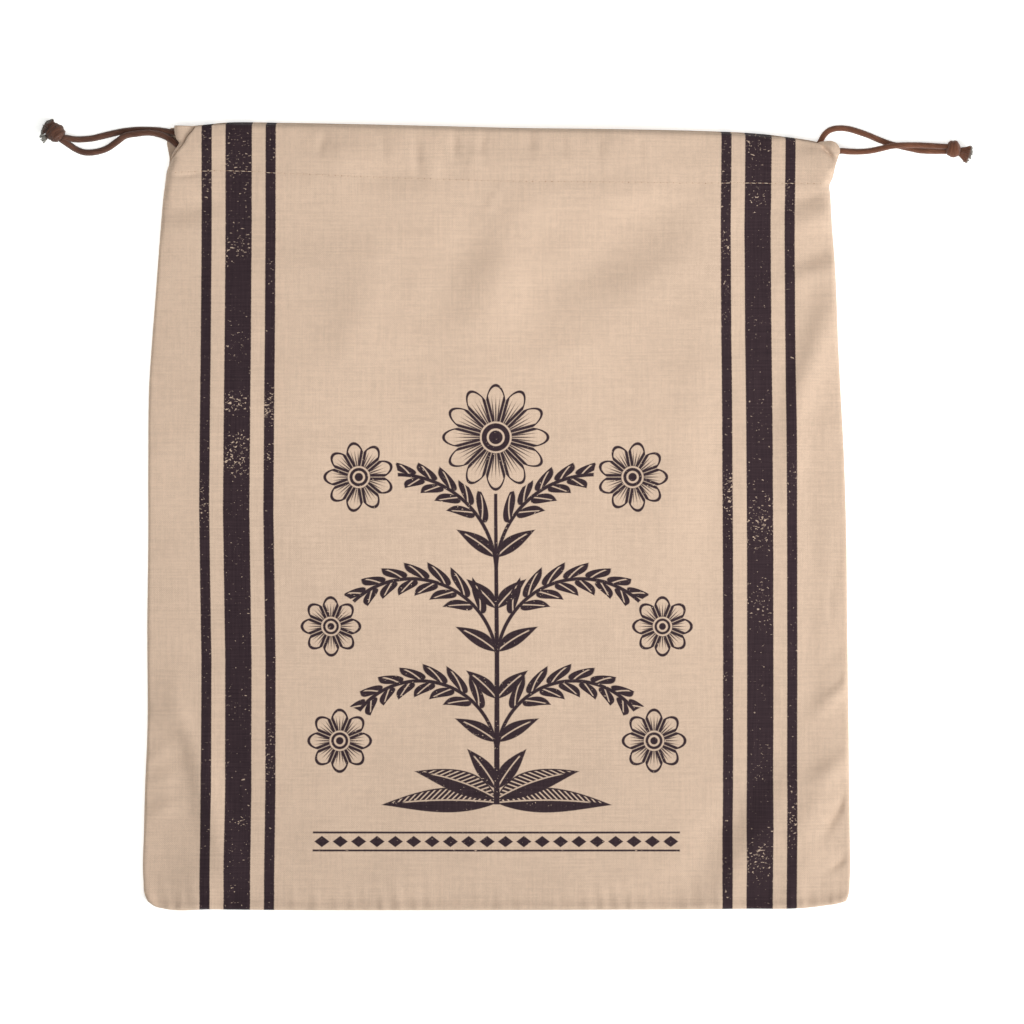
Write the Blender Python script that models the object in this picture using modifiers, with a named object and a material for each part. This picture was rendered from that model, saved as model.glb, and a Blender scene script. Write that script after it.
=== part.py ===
"""A cotton bread bag with two drawcords, lying on its back on a flat surface.

The bag is two panels of cotton sewn together at the sides and the bottom. The top of each panel is
turned down inside and stitched, and the two hems make a casing for the drawcords. Each drawcord runs
from its knot through one hem, turns round at the far side seam and comes back through the other hem.

The frame: X to the right, Y from the bottom seam to the mouth, Z up, and the origin in the middle of
the bag's underside. Blender's unit is the metre. The tables and sizes below are in millimetres and
MM turns them into metres.
"""

import math

import bmesh
import bpy
import numpy as np
from mathutils import Matrix, Vector

MM = 0.001

# Cloth and casing
CLOTH = 1.0  # thickness of a panel
GAP = 0.3  # air between two pieces that touch
CORD = 3.0  # diameter of a drawcord
TUNNEL = CORD + 2 * GAP  # clear height of the casing
FOLD = (TUNNEL + CLOTH) / 2  # radius of the fold at the top edge, to the middle of the cloth
HEM = 25.0  # depth of the hem, from the top edge to its stitches
HEM_FLAT = 18.0  # the casing keeps its full height down to here
STITCHED = CLOTH + 0.4  # distance between the two layers of a hem at its stitches
FRONT_LOWER = 1.3  # how far the front's top edge lies below the back's

# Heights
BACK_LEVEL = CLOTH / 2  # middle of the back panel's cloth
SEAM_LEVEL = BACK_LEVEL + CLOTH + GAP  # middle of the front panel's cloth at its seams
CROWN = 10.6  # how far the middle of the front stands above its seams
SIDE_ROLL = 30.0  # the distance in which the front rises from a side seam
BOTTOM_ROLL = 27.0  # the same from the bottom seam
CASING_EDGES = (-167.9, 176.5)  # where the front casing starts to rise at each side
CASING_RISE = 4.7  # rise of the front casing from there to its open end
CASING_RISE_RUN = 22.0
MOUTH_BOW = 4.6  # further rise of the front casing towards the middle of the mouth
MOUTH_BOW_RUN = 110.0
BLEND_RUN = 42.0  # below the hem, the casing's height turns into the body's in this distance

# Side edges, from the bottom corner to just under the casing: height, left edge, right edge
SIDES = (
    (-196.8, -177.6, 178.0),
    (-193.5, -179.3, 179.4),
    (-186.0, -180.1, 180.1),
    (-160.0, -179.8, 180.1),
    (-134.9, -179.1, 179.8),
    (-114.5, -178.2, 179.6),
    (-53.1, -178.1, 178.8),
    (-12.3, -177.6, 178.4),
    (28.6, -177.6, 177.2),
    (69.5, -177.0, 175.1),
    (89.9, -175.6, 174.1),
    (110.4, -174.0, 173.4),
    (130.8, -172.5, 172.4),
    (151.3, -170.9, 170.8),
    (163.5, -169.8, 170.2),
    (169.7, -169.0, 169.9),
    (176.8, -167.9, 171.9),
)
# The same edges above that, where the casing ends and the cords come out
FRONT_CORNERS = (
    (181.9, -167.3, 173.7),
    (185.5, -165.5, 175.2),
    (187.8, -163.6, 175.0),
    (190.3, -162.5, 173.6),
    (193.7, -163.3, 172.0),
    (198.6, -164.8, 171.0),
)
BACK_CORNERS = (
    (182.9, -167.2, 171.4),
    (187.0, -167.9, 170.2),
    (191.1, -168.5, 168.0),
    (194.7, -168.0, 166.5),
    (198.8, -166.3, 166.0),
)
# The back panel's top edge: distance across, height
TOP = (
    (-168.0, 198.4),
    (-158.0, 199.3),
    (-150.0, 200.1),
    (-138.0, 201.0),
    (-110.0, 200.9),
    (-75.0, 200.3),
    (-35.0, 199.4),
    (10.0, 198.3),
    (60.0, 197.7),
    (105.0, 196.7),
    (130.0, 195.6),
    (145.0, 194.2),
    (155.0, 193.0),
    (164.3, 191.2),
    (171.5, 188.6),
)
# The bottom seam: distance across, height
BOTTOM = (
    (-177.6, -196.8),
    (-174.5, -199.0),
    (-170.0, -200.2),
    (-145.0, -200.6),
    (-20.0, -201.0),
    (60.0, -200.7),
    (125.0, -200.3),
    (160.0, -199.6),
    (168.0, -198.6),
    (173.5, -197.8),
    (178.0, -196.6),
)

# Folds of the front: middle across, middle up, direction in degrees, half length, half width, height.
# A ridge has a height above nought and a trough one below it.
FOLDS = (
    (55.0, 133.0, 40.0, 46.0, 14.0, -1.3),
    (-8.0, 118.0, 69.0, 46.0, 14.0, 1.4),
    (-71.0, 103.0, 67.0, 30.0, 12.0, 0.9),
    (98.0, 44.0, 80.0, 52.0, 14.0, 1.2),
    (114.0, 28.0, 85.0, 46.0, 9.0, -1.2),
    (158.0, 67.0, 79.0, 32.0, 7.0, 1.4),
    (166.0, 34.0, 80.0, 28.0, 6.0, -1.0),
    (160.0, 151.0, 5.0, 16.0, 6.0, 1.1),
    (162.0, 137.0, 6.0, 16.0, 6.0, -0.9),
    (160.0, 117.0, 12.0, 18.0, 7.0, 1.1),
    (-159.0, 159.0, 0.0, 15.0, 6.0, -1.0),
    (-158.0, 149.0, 2.0, 16.0, 6.0, 1.0),
    (-148.0, -130.0, 98.0, 40.0, 9.0, 1.4),
    (-164.0, -120.0, 100.0, 34.0, 7.0, -1.1),
    (-172.0, -143.0, 20.0, 10.0, 4.0, 0.9),
    (-172.0, -162.0, 15.0, 10.0, 4.0, 0.9),
    (166.0, -94.0, 18.0, 16.0, 6.0, 1.2),
    (160.0, -153.0, 60.0, 28.0, 7.0, 1.3),
    (150.0, -137.0, 50.0, 24.0, 7.0, -1.0),
    (132.0, -168.0, 70.0, 24.0, 8.0, 1.1),
    (115.0, -172.0, 65.0, 24.0, 8.0, -1.1),
    (4.0, -138.0, -29.0, 36.0, 8.0, 0.9),
    (73.0, -140.0, -18.0, 30.0, 9.0, 0.7),
)
FOLD_FADE = 9.0  # folds die out within this distance of a seam
FOLD_INSIDE_HEM = 6.0  # they reach this far into the hem
FOLD_TOP_RUN = 20.0  # and gain their full height in this distance

# Grids: cells across, cells up the body, and cells at each side that the casing stops short of
FRONT_GRID = {"across": 42, "up": 38, "left_open": 3, "right_open": 4}
BACK_GRID = {"across": 24, "up": 14, "left_open": 2, "right_open": 2}
CASING_ROWS = (22.0, HEM_FLAT, 12.5, 7.0)  # distances below the top edge
FOLD_ROWS = 4  # cells round the fold at the top edge
PLACE_ROUNDS = 6  # rounds in which a place on a panel settles between its curved edges

# Drawcords
CORD_SIDES = 2  # bevel resolution
FLOOR_LEVEL = CORD / 2 + 0.1  # middle of a cord that lies on the surface
ON_BACK = CLOTH + GAP + CORD / 2  # middle of a cord that lies on the back panel
NEAR_LINE = 6.3  # the casing line next to the top edge, measured from the back's top edge
FAR_LINE = 16.0  # the other casing line
CASING_STEP = 22.0  # spacing of points in the casing
FREE_STEP = 5.6  # spacing of points outside it, about two diameters
TURN_POINTS = 7

# Free stretches of the cords from the knot to the casing: across, up, height
LEFT_UPPER = (
    (-219.4, 194.2, 4.6),
    (-214.4, 193.2, 2.4),
    (-207.2, 193.2, FLOOR_LEVEL),
    (-199.0, 195.2, FLOOR_LEVEL),
    (-191.4, 197.3, FLOOR_LEVEL),
    (-181.7, 198.5, FLOOR_LEVEL),
    (-173.5, 198.4, 2.3),
    (-166.6, 197.2, 3.0),
    (-160.8, 195.6, 3.7),
    (-156.0, 194.4, 5.2),
    (-151.0, 193.9, 7.5),
    (-145.5, 194.1, 8.7),
)
LEFT_LOWER = (
    (-220.6, 190.6, 4.2),
    (-215.8, 187.3, 2.2),
    (-210.8, 185.4, FLOOR_LEVEL),
    (-205.2, 185.3, FLOOR_LEVEL),
    (-199.2, 187.4, FLOOR_LEVEL),
    (-194.4, 190.8, 2.1),
    (-189.5, 193.7, 3.2),
    (-183.5, 195.2, 3.7),
    (-177.0, 195.2, 3.7),
    (-170.5, 193.6, 3.3),
    (-165.6, 191.0, ON_BACK),
    (-160.5, 188.0, ON_BACK),
    (-154.5, 185.5, ON_BACK),
    (-147.5, 184.7, ON_BACK),
)
RIGHT_UPPER = (
    (228.6, 185.9, 3.6),
    (223.5, 185.9, 2.0),
    (216.5, 186.0, FLOOR_LEVEL),
    (211.8, 187.1, FLOOR_LEVEL),
    (205.8, 188.6, FLOOR_LEVEL),
    (200.5, 190.3, FLOOR_LEVEL),
    (195.4, 192.2, FLOOR_LEVEL),
    (190.3, 194.4, FLOOR_LEVEL),
    (184.2, 197.0, FLOOR_LEVEL),
    (179.9, 198.4, FLOOR_LEVEL),
    (174.5, 198.8, FLOOR_LEVEL),
    (169.9, 197.4, 1.9),
    (166.9, 194.0, 2.5),
    (164.8, 190.2, ON_BACK),
    (161.2, 187.6, ON_BACK),
    (156.0, 187.0, ON_BACK),
    (150.5, 187.2, ON_BACK),
)
RIGHT_LOWER = (
    (228.6, 189.3, 3.6),
    (223.5, 189.4, 2.0),
    (214.4, 189.9, 2.5),
    (208.4, 190.1, 4.4),
    (202.1, 189.9, 5.1),
    (196.5, 188.9, 4.1),
    (191.0, 187.4, 2.2),
    (186.0, 186.6, FLOOR_LEVEL),
    (180.5, 186.7, 2.4),
    (175.0, 186.8, 3.8),
    (170.0, 185.0, 4.8),
    (165.4, 181.5, 6.1),
    (160.8, 178.4, 7.6),
    (155.5, 177.0, 8.7),
    (150.5, 177.3, 8.9),
)
LEFT_JOIN = -132.0  # where the left cord's free stretches join its casing lines
RIGHT_JOIN = 136.0  # the same for the right cord
LEFT_TURN = -146.3  # where the right cord turns back at the left end of the casing
RIGHT_TURN = 150.3  # where the left cord turns back at the right end

# Knots. Each knot's own X axis runs along its strands, away from the bag
KNOT_VOXEL = 0.7
KNOT_SHARE = 0.34  # share of the remeshed faces that a knot keeps
RING_STEPS = 20  # points round a wrap of a knot
TUFT_STRANDS = 7
TUFT_LIFT = 0.35  # how far its strands stand above or below each other
TUFT_TURN = 2.4  # radians from one strand's lift to the next
LEFT_KNOT = {
    "centre": (-225.3, 195.0, 5.3),
    "heading": 157.0,
    "core": (4.1, 3.7, 3.7),
    "strand": 1.65,
    "rings": ((3.45, -0.9, 24.0), (3.2, 1.3, -20.0)),
    "tufts": (
        {"root": (-227.0, 197.0, 5.2), "tip": (-230.6, 201.4, 4.0), "fan": (-2.0, -1.6, 0), "radius": 1.5},
        {"root": (-227.5, 194.0, 4.0), "tip": (-231.8, 192.4, 2.4), "fan": (-0.4, 0.9, 0), "radius": 0.9},
    ),
}
RIGHT_KNOT = {
    "centre": (233.3, 187.4, 4.4),
    "heading": -4.0,
    "core": (3.3, 3.0, 3.0),
    "strand": 1.4,
    "rings": ((2.75, -1.2, 16.0), (2.6, 1.0, -22.0)),
    "tufts": (
        {"root": (234.0, 186.8, 4.0), "tip": (241.2, 184.7, 2.6), "fan": (-0.9, 3.1, 0), "radius": 1.3},
    ),
}

COTTON = {"colour": (0.69, 0.50, 0.37), "roughness": 0.92}
BACK_COTTON = {"colour": (0.66, 0.48, 0.35), "roughness": 0.92}
CORD_COTTON = {"colour": (0.235, 0.105, 0.067), "roughness": 0.85}
KNOT_COTTON = {"colour": (0.20, 0.09, 0.06), "roughness": 0.88}


def clear_scene():
    for item in list(bpy.data.objects):
        bpy.data.objects.remove(item, do_unlink=True)


def named_collection(name):
    collection = bpy.data.collections.new(name)
    bpy.context.scene.collection.children.link(collection)
    return collection


def material(name, finish):
    made = bpy.data.materials.new(name)
    made.use_nodes = True
    shader = made.node_tree.nodes["Principled BSDF"]
    shader.inputs["Base Color"].default_value = (*finish["colour"], 1.0)
    shader.inputs["Roughness"].default_value = finish["roughness"]
    shader.inputs["Metallic"].default_value = 0.0
    made.diffuse_color = (*finish["colour"], 1.0)
    return made


def smooth(share):
    """0 below 0, 1 above 1, and an even rise between."""
    share = min(max(share, 0.0), 1.0)
    return share * share * (3 - 2 * share)


def read_curve(stations, column, at):
    """A column of a table, read at a place in the table's first column along a smooth curve."""
    places = [row[0] for row in stations]
    values = [row[column] for row in stations]
    slopes = np.gradient(values, places)
    last = len(places) - 2
    k = int(np.clip(np.searchsorted(places, at) - 1, 0, last))
    span = places[k + 1] - places[k]
    share = min(max((at - places[k]) / span, 0.0), 1.0)
    rise = share * share * (3 - 2 * share)
    start = share * (1 - share) ** 2 * span * slopes[k]
    end = share * share * (share - 1) * span * slopes[k + 1]
    return values[k] * (1 - rise) + values[k + 1] * rise + start + end


class Panel:
    """One panel of the bag with its hem: where each point of its cloth lies."""

    def __init__(self, corners, top_lower, grid):
        self.sides = SIDES + corners
        self.top_lower = top_lower
        self.grid = grid

    def left(self, y):
        return read_curve(self.sides, 1, y)

    def right(self, y):
        return read_curve(self.sides, 2, y)

    def top(self, x):
        return read_curve(TOP, 1, x) - self.top_lower

    def bottom(self, x):
        return read_curve(BOTTOM, 1, x)

    def place(self, across, up):
        """The plan position of a share across and a share up the panel."""
        x = (across - 0.5) * 2 * SIDES[0][2]
        y = 0.0
        for _ in range(PLACE_ROUNDS):
            y = self.bottom(x) * (1 - up) + self.top(x) * up
            x = self.left(y) * (1 - across) + self.right(y) * across
        return x, y

    def rows(self):
        """Rows of the grid from the bottom seam to the hem's inner edge: (kind, value)."""
        body = self.grid["up"]
        rows = [("body", i / body) for i in range(body + 1)]
        rows += [("casing", below) for below in CASING_ROWS]
        rows += [("fold", i / FOLD_ROWS) for i in range(FOLD_ROWS + 1)]
        rows += [("hem", below) for below in reversed(CASING_ROWS)]
        rows.append(("hem", HEM))
        return rows


def layer_distance(below):
    """Distance between the two layers of a hem, at a distance below its top edge."""
    share = smooth((below - HEM_FLAT) / (HEM - HEM_FLAT))
    return 2 * FOLD * (1 - share) + STITCHED * share


def fold_relief(x, y):
    """How far the folds raise or lower the front at a place."""
    total = 0.0
    for middle_x, middle_y, direction, half_length, half_width, height in FOLDS:
        turn = math.radians(direction)
        along = (x - middle_x) * math.cos(turn) + (y - middle_y) * math.sin(turn)
        beside = (y - middle_y) * math.cos(turn) - (x - middle_x) * math.sin(turn)
        total += height * math.exp(-((along / half_length) ** 2) - (beside / half_width) ** 2)
    return total


class Front(Panel):
    """The upper panel: seamed down at its sides and bottom, raised between them."""

    def edge_distance(self, x, y):
        return max(min(x - self.left(y), self.right(y) - x), 0.0)

    def hem_level(self, x):
        """Height of the hem's inner layer, which bows up towards the middle of the mouth."""
        edge = min(x - CASING_EDGES[0], CASING_EDGES[1] - x)
        rise = CASING_RISE * smooth(edge / CASING_RISE_RUN)
        bow = MOUTH_BOW * smooth((edge - CASING_RISE_RUN) / MOUTH_BOW_RUN)
        return SEAM_LEVEL + rise + bow

    def level(self, x, y):
        """Height of the outer layer."""
        edge = self.edge_distance(x, y)
        low = max(y - self.bottom(x), 0.0)
        below = self.top(x) - y
        crown = CROWN * (1 - math.exp(-edge / SIDE_ROLL)) * (1 - math.exp(-low / BOTTOM_ROLL))
        casing = self.hem_level(x) + layer_distance(below)
        near_top = 1 - smooth((below - HEM) / BLEND_RUN)
        body = SEAM_LEVEL + crown
        if below > HEM:
            casing = self.hem_level(x) + STITCHED * near_top * smooth(edge / FOLD_FADE)
        seams = (1 - math.exp(-((edge / FOLD_FADE) ** 2))) * (1 - math.exp(-((low / FOLD_FADE) ** 2)))
        relief = fold_relief(x, y) * seams * smooth((below - HEM + FOLD_INSIDE_HEM) / FOLD_TOP_RUN)
        return max(body * (1 - near_top) + casing * near_top + relief, SEAM_LEVEL)

    def hem_side(self):
        return -1


class Back(Panel):
    """The lower panel, flat on the surface."""

    def level(self, x, y):
        return BACK_LEVEL

    def hem_side(self):
        return 1


def cloth_point(panel, column, row, rows):
    """Where a grid point of a panel lies, in millimetres."""
    grid = panel.grid
    across = column / grid["across"]
    inner = grid["left_open"] <= column <= grid["across"] - grid["right_open"]
    kind, value = rows[row]
    x, top = panel.place(across, 1.0)
    height = top - panel.bottom(x)
    if kind == "body":
        x, y = panel.place(across, value * (1 - HEM / height))
        return x, y, panel.level(x, y)
    if kind == "fold":
        turn = math.pi * value
        below = CLOTH / 2 + FOLD * (1 - math.sin(turn))
        drop = FOLD * (1 - math.cos(turn)) if inner else 0.0
        x, y = panel.place(across, 1 - below / height)
        base = panel.level(x, panel.top(x) - FOLD - CLOTH / 2)
        return x, y, base + panel.hem_side() * drop
    x, y = panel.place(across, 1 - value / height)
    drop = layer_distance(value) if kind == "hem" else 0.0
    return x, y, panel.level(x, y) + panel.hem_side() * drop


def make_panel(name, panel, finish, collection):
    """A panel with its hem: a grid laid along the cloth, then given the cloth's thickness."""
    grid = panel.grid
    rows = panel.rows()
    cells = len(rows) - 1
    half_turn = next(i for i, row in enumerate(rows) if row[0] == "fold") + FOLD_ROWS // 2
    mesh = bpy.data.meshes.new(name)
    cloth = bmesh.new()
    bmesh.ops.create_grid(cloth, x_segments=grid["across"], y_segments=cells, size=0.5)
    places = {}
    for vertex in cloth.verts:
        column = round((vertex.co.x + 0.5) * grid["across"])
        row = round((vertex.co.y + 0.5) * cells)
        places[vertex] = (column, row)
    cut_away = []
    for face in cloth.faces:
        columns = [places[vertex][0] for vertex in face.verts]
        lowest = min(places[vertex][1] for vertex in face.verts)
        at_end = min(columns) < grid["left_open"]
        at_end = at_end or max(columns) > grid["across"] - grid["right_open"]
        if at_end and lowest >= half_turn:
            cut_away.append(face)
    for vertex, (column, row) in places.items():
        vertex.co = Vector(cloth_point(panel, column, row, rows)) * MM
    bmesh.ops.delete(cloth, geom=cut_away, context="FACES")
    cloth.to_mesh(mesh)
    cloth.free()
    mesh.shade_smooth()
    mesh.materials.append(material(name + "_cotton", finish))
    made = bpy.data.objects.new(name, mesh)
    collection.objects.link(made)
    thickness = made.modifiers.new("cloth thickness", "SOLIDIFY")
    thickness.thickness = CLOTH * MM
    thickness.offset = 0.0
    return made


def curve_between(points, step):
    """Points a step apart along a smooth curve through the given ones, with both ends."""
    knots = [Vector(point) for point in points]
    found = []
    for k in range(len(knots) - 1):
        before = knots[max(k - 1, 0)]
        start, end = knots[k], knots[k + 1]
        after = knots[min(k + 2, len(knots) - 1)]
        span = (end - start).length
        start_pull = (end - before) * (span / max((start - before).length + span, 1e-6))
        end_pull = (after - start) * (span / max((after - end).length + span, 1e-6))
        count = max(round(span / step), 1)
        for i in range(count):
            s = i / count
            found.append(
                start * (2 * s**3 - 3 * s**2 + 1)
                + start_pull * (s**3 - 2 * s**2 + s)
                + end * (3 * s**2 - 2 * s**3)
                + end_pull * (s**3 - s**2)
            )
    found.append(knots[-1])
    return found


def casing_run(front, line, from_x, to_x):
    """A cord's route inside a casing. It lies in the front's hem, or in the back's without a front."""
    steps = max(round(abs(to_x - from_x) / CASING_STEP), 1)
    run = []
    for i in range(steps + 1):
        x = from_x + (to_x - from_x) * i / steps
        y = read_curve(TOP, 1, x) - line
        z = front.hem_level(x) + FOLD if front else ON_BACK
        run.append((x, y, z))
    return run


def turn_back(front, at, outward, front_line, back_line):
    """A half turn from the front casing to the back one, at the open end of both."""
    start = Vector((at, read_curve(TOP, 1, at) - front_line, front.hem_level(at) + FOLD))
    end = Vector((at, read_curve(TOP, 1, at) - back_line, ON_BACK))
    middle = (start + end) / 2
    arm = start - middle
    out = Vector((outward * arm.length, 0, 0))
    turn = []
    for i in range(1, TURN_POINTS):
        angle = math.pi * i / TURN_POINTS
        turn.append(middle + arm * math.cos(angle) + out * math.sin(angle))
    return turn


def left_route(front):
    """The left cord: knot, upper strand, front casing, turn at the right, back casing, knot."""
    ahead = casing_run(front, NEAR_LINE, LEFT_JOIN, RIGHT_TURN)
    outside = curve_between(LEFT_UPPER + (ahead[0],), FREE_STEP)
    turn = turn_back(front, RIGHT_TURN, 1, NEAR_LINE, FAR_LINE)
    back = casing_run(None, FAR_LINE, RIGHT_TURN, LEFT_JOIN)
    home = curve_between((back[-1],) + LEFT_LOWER[::-1], FREE_STEP)
    return outside[:-1] + ahead + turn + back + home[1:]


def right_route(front):
    """The right cord: knot, lower strand, front casing, turn at the left, back casing, knot."""
    ahead = casing_run(front, FAR_LINE, RIGHT_JOIN, LEFT_TURN)
    outside = curve_between(RIGHT_LOWER + (ahead[0],), FREE_STEP)
    turn = turn_back(front, LEFT_TURN, -1, FAR_LINE, NEAR_LINE)
    back = casing_run(None, NEAR_LINE, LEFT_TURN, RIGHT_JOIN)
    home = curve_between((back[-1],) + RIGHT_UPPER[::-1], FREE_STEP)
    return outside[:-1] + ahead + turn + back + home[1:]


def poly_curve(name, points, radius, cyclic=False):
    """A round tube along points given in millimetres."""
    curve = bpy.data.curves.new(name, "CURVE")
    curve.dimensions = "3D"
    curve.bevel_depth = radius * MM
    curve.bevel_resolution = CORD_SIDES
    curve.use_fill_caps = True
    line = curve.splines.new("POLY")
    line.points.add(len(points) - 1)
    line.use_cyclic_u = cyclic
    for place, point in zip(line.points, points):
        place.co = (*(Vector(point) * MM), 1.0)
    return curve


def make_cord(name, route, finish, collection):
    curve = poly_curve(name, route, CORD / 2)
    curve.materials.append(material(name + "_cotton", finish))
    made = bpy.data.objects.new(name, curve)
    collection.objects.link(made)
    return made


def ring_path(radius, shift, tilt):
    """One wrap of a knot: a ring round the strands, shifted along them and tilted in degrees."""
    path = []
    for i in range(RING_STEPS):
        turn = 2 * math.pi * i / RING_STEPS
        y = radius * math.cos(turn)
        path.append((shift + y * math.tan(math.radians(tilt)), y, radius * math.sin(turn)))
    return path


def add_tube(into, points, radius, place=None, cyclic=False):
    """Adds a closed tube to a bmesh."""
    curve = poly_curve("strand", points, radius, cyclic)
    helper = bpy.data.objects.new("strand", curve)
    bpy.context.scene.collection.objects.link(helper)
    graph = bpy.context.evaluated_depsgraph_get()
    tube = bpy.data.meshes.new_from_object(helper.evaluated_get(graph))
    tube.transform(place or Matrix.Identity(4))
    into.from_mesh(tube)
    bpy.data.objects.remove(helper, do_unlink=True)
    bpy.data.meshes.remove(tube)


def add_tuft(into, tuft):
    """A frayed end: thin strands that fan out from one root."""
    for i in range(TUFT_STRANDS):
        spread = (i / (TUFT_STRANDS - 1) - 0.5) * 2
        lift = Vector((0, 0, TUFT_LIFT * math.cos(TUFT_TURN * i)))
        root = Vector(tuft["root"])
        tip = Vector(tuft["tip"]) + Vector(tuft["fan"]) * spread + lift
        add_tube(into, (root, root.lerp(tip, 0.5), tip), tuft["radius"])


def make_knot(name, sizes, strands, finish, collection):
    """A knot with its frayed ends, made one skin over its strands and then thinned.

    The strands are the first two points of each cord end, which meets its stub in the knot face to face.
    """
    centre = Vector(sizes["centre"])
    place = Matrix.Translation(centre * MM) @ Matrix.Rotation(math.radians(sizes["heading"]), 4, "Z")
    knot = bmesh.new()
    ball = bmesh.ops.create_icosphere(knot, subdivisions=2, radius=1.0)["verts"]
    scale = Matrix.Diagonal((*[side * MM for side in sizes["core"]], 1.0))
    bmesh.ops.transform(knot, matrix=place @ scale, verts=ball)
    for radius, shift, tilt in sizes["rings"]:
        add_tube(knot, ring_path(radius, shift, tilt), sizes["strand"], place, cyclic=True)
    for end, before in strands:
        ahead = (Vector(end) - Vector(before)).normalized()
        start = Vector(end) + ahead * GAP
        add_tube(knot, (start, start + ahead * CORD / 2, centre), CORD / 2)
    for tuft in sizes["tufts"]:
        add_tuft(knot, tuft)
    bmesh.ops.remove_doubles(knot, verts=knot.verts, dist=1e-6)
    mesh = bpy.data.meshes.new(name)
    knot.to_mesh(mesh)
    knot.free()
    mesh.materials.append(material(name + "_cotton", finish))
    made = bpy.data.objects.new(name, mesh)
    collection.objects.link(made)
    skin = made.modifiers.new("one skin", "REMESH")
    skin.mode = "VOXEL"
    skin.voxel_size = KNOT_VOXEL * MM
    skin.use_smooth_shade = True
    thin = made.modifiers.new("fewer faces", "DECIMATE")
    thin.ratio = KNOT_SHARE
    return made


def main():
    clear_scene()
    bag = named_collection("cotton_bread_bag")
    front = Front(FRONT_CORNERS, FRONT_LOWER, FRONT_GRID)
    back = Back(BACK_CORNERS, 0.0, BACK_GRID)
    make_panel("front_panel", front, COTTON, bag)
    make_panel("back_panel", back, BACK_COTTON, bag)
    make_cord("drawcord_left", left_route(front), CORD_COTTON, bag)
    make_cord("drawcord_right", right_route(front), CORD_COTTON, bag)
    make_knot("knot_left", LEFT_KNOT, (LEFT_UPPER[:2], LEFT_LOWER[:2]), KNOT_COTTON, bag)
    make_knot("knot_right", RIGHT_KNOT, (RIGHT_UPPER[:2], RIGHT_LOWER[:2]), KNOT_COTTON, bag)


main()
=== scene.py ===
"""The looks of a cotton bread bag with two drawcords, lying on its back and seen from straight above.

Units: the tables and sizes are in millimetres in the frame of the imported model, X to the right, Y from
the bottom seam to the mouth and Z up, and MM turns them into Blender's metres.
"""

import logging
import math
import random
from collections.abc import Callable, Sequence
from dataclasses import dataclass, field
from enum import Enum

import bmesh
import bpy
import numpy as np
from bpy.types import Material, NodeSocket, Object
from mathutils import Matrix, Vector


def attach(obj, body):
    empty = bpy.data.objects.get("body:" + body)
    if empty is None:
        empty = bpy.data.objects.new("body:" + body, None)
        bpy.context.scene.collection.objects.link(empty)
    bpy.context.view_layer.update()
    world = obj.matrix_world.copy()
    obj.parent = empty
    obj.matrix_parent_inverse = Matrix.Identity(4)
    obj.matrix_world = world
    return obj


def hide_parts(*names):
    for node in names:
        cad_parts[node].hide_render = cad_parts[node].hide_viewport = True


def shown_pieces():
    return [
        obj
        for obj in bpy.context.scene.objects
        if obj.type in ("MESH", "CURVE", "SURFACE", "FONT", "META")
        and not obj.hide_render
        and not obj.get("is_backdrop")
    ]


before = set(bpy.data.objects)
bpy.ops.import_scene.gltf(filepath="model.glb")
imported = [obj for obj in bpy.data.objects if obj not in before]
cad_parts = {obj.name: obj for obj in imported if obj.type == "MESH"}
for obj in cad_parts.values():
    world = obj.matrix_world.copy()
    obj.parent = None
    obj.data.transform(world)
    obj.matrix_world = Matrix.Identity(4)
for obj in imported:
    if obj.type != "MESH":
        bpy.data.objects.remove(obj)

MM = 0.001
TO_METRES = Matrix.Diagonal((MM, MM, MM, 1.0))
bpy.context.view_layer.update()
LOG = logging.getLogger("cotton_bread_bag")

Value = NodeSocket | float
Row = tuple[float, ...]


class Side(Enum):
    """The two panels, by the way in which the outer side of their cloth faces."""

    FRONT = 1
    BACK = -1


class Part(Enum):
    """The stretches of a panel, from its bottom seam along the cloth to the hem's inner edge."""

    BODY = "body"
    CASING = "casing"
    FOLD = "fold"
    HEM = "hem"


# Curves and small helpers


def linear(code: str) -> tuple[float, float, float, float]:
    """Turns an sRGB hex colour into a linear one.

    Args:
        code: the colour as "#rrggbb".

    Returns:
        Linear red, green, blue and an alpha of 1.
    """
    channels = [int(code[i : i + 2], 16) / 255 for i in (1, 3, 5)]
    turned = [c / 12.92 if c <= 0.04045 else ((c + 0.055) / 1.055) ** 2.4 for c in channels]
    return (*turned, 1.0)


def smooth(share: np.ndarray | float) -> np.ndarray:
    """Returns 0 below 0, 1 above 1, and an even rise between."""
    share = np.clip(share, 0.0, 1.0)
    return share * share * (3 - 2 * share)


@dataclass(frozen=True)
class Curve:
    """A smooth curve through the rows of a table, whose first column is the place."""

    rows: tuple[Row, ...]

    def read(self, column: int, at: np.ndarray | float) -> np.ndarray:
        """Reads one column at any places.

        Args:
            column: the column to read.
            at: places in the first column's unit.

        Returns:
            The values there, held level past both ends of the table.
        """
        table = np.array(self.rows, float)
        places, values = table[:, 0], table[:, column]
        slopes = np.gradient(values, places)
        k = np.clip(np.searchsorted(places, at) - 1, 0, len(places) - 2)
        span = places[k + 1] - places[k]
        share = np.clip((at - places[k]) / span, 0.0, 1.0)
        rise = smooth(share)
        start = share * (1 - share) ** 2 * span * slopes[k]
        end = share * share * (share - 1) * span * slopes[k + 1]
        return values[k] * (1 - rise) + values[k + 1] * rise + start + end


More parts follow.
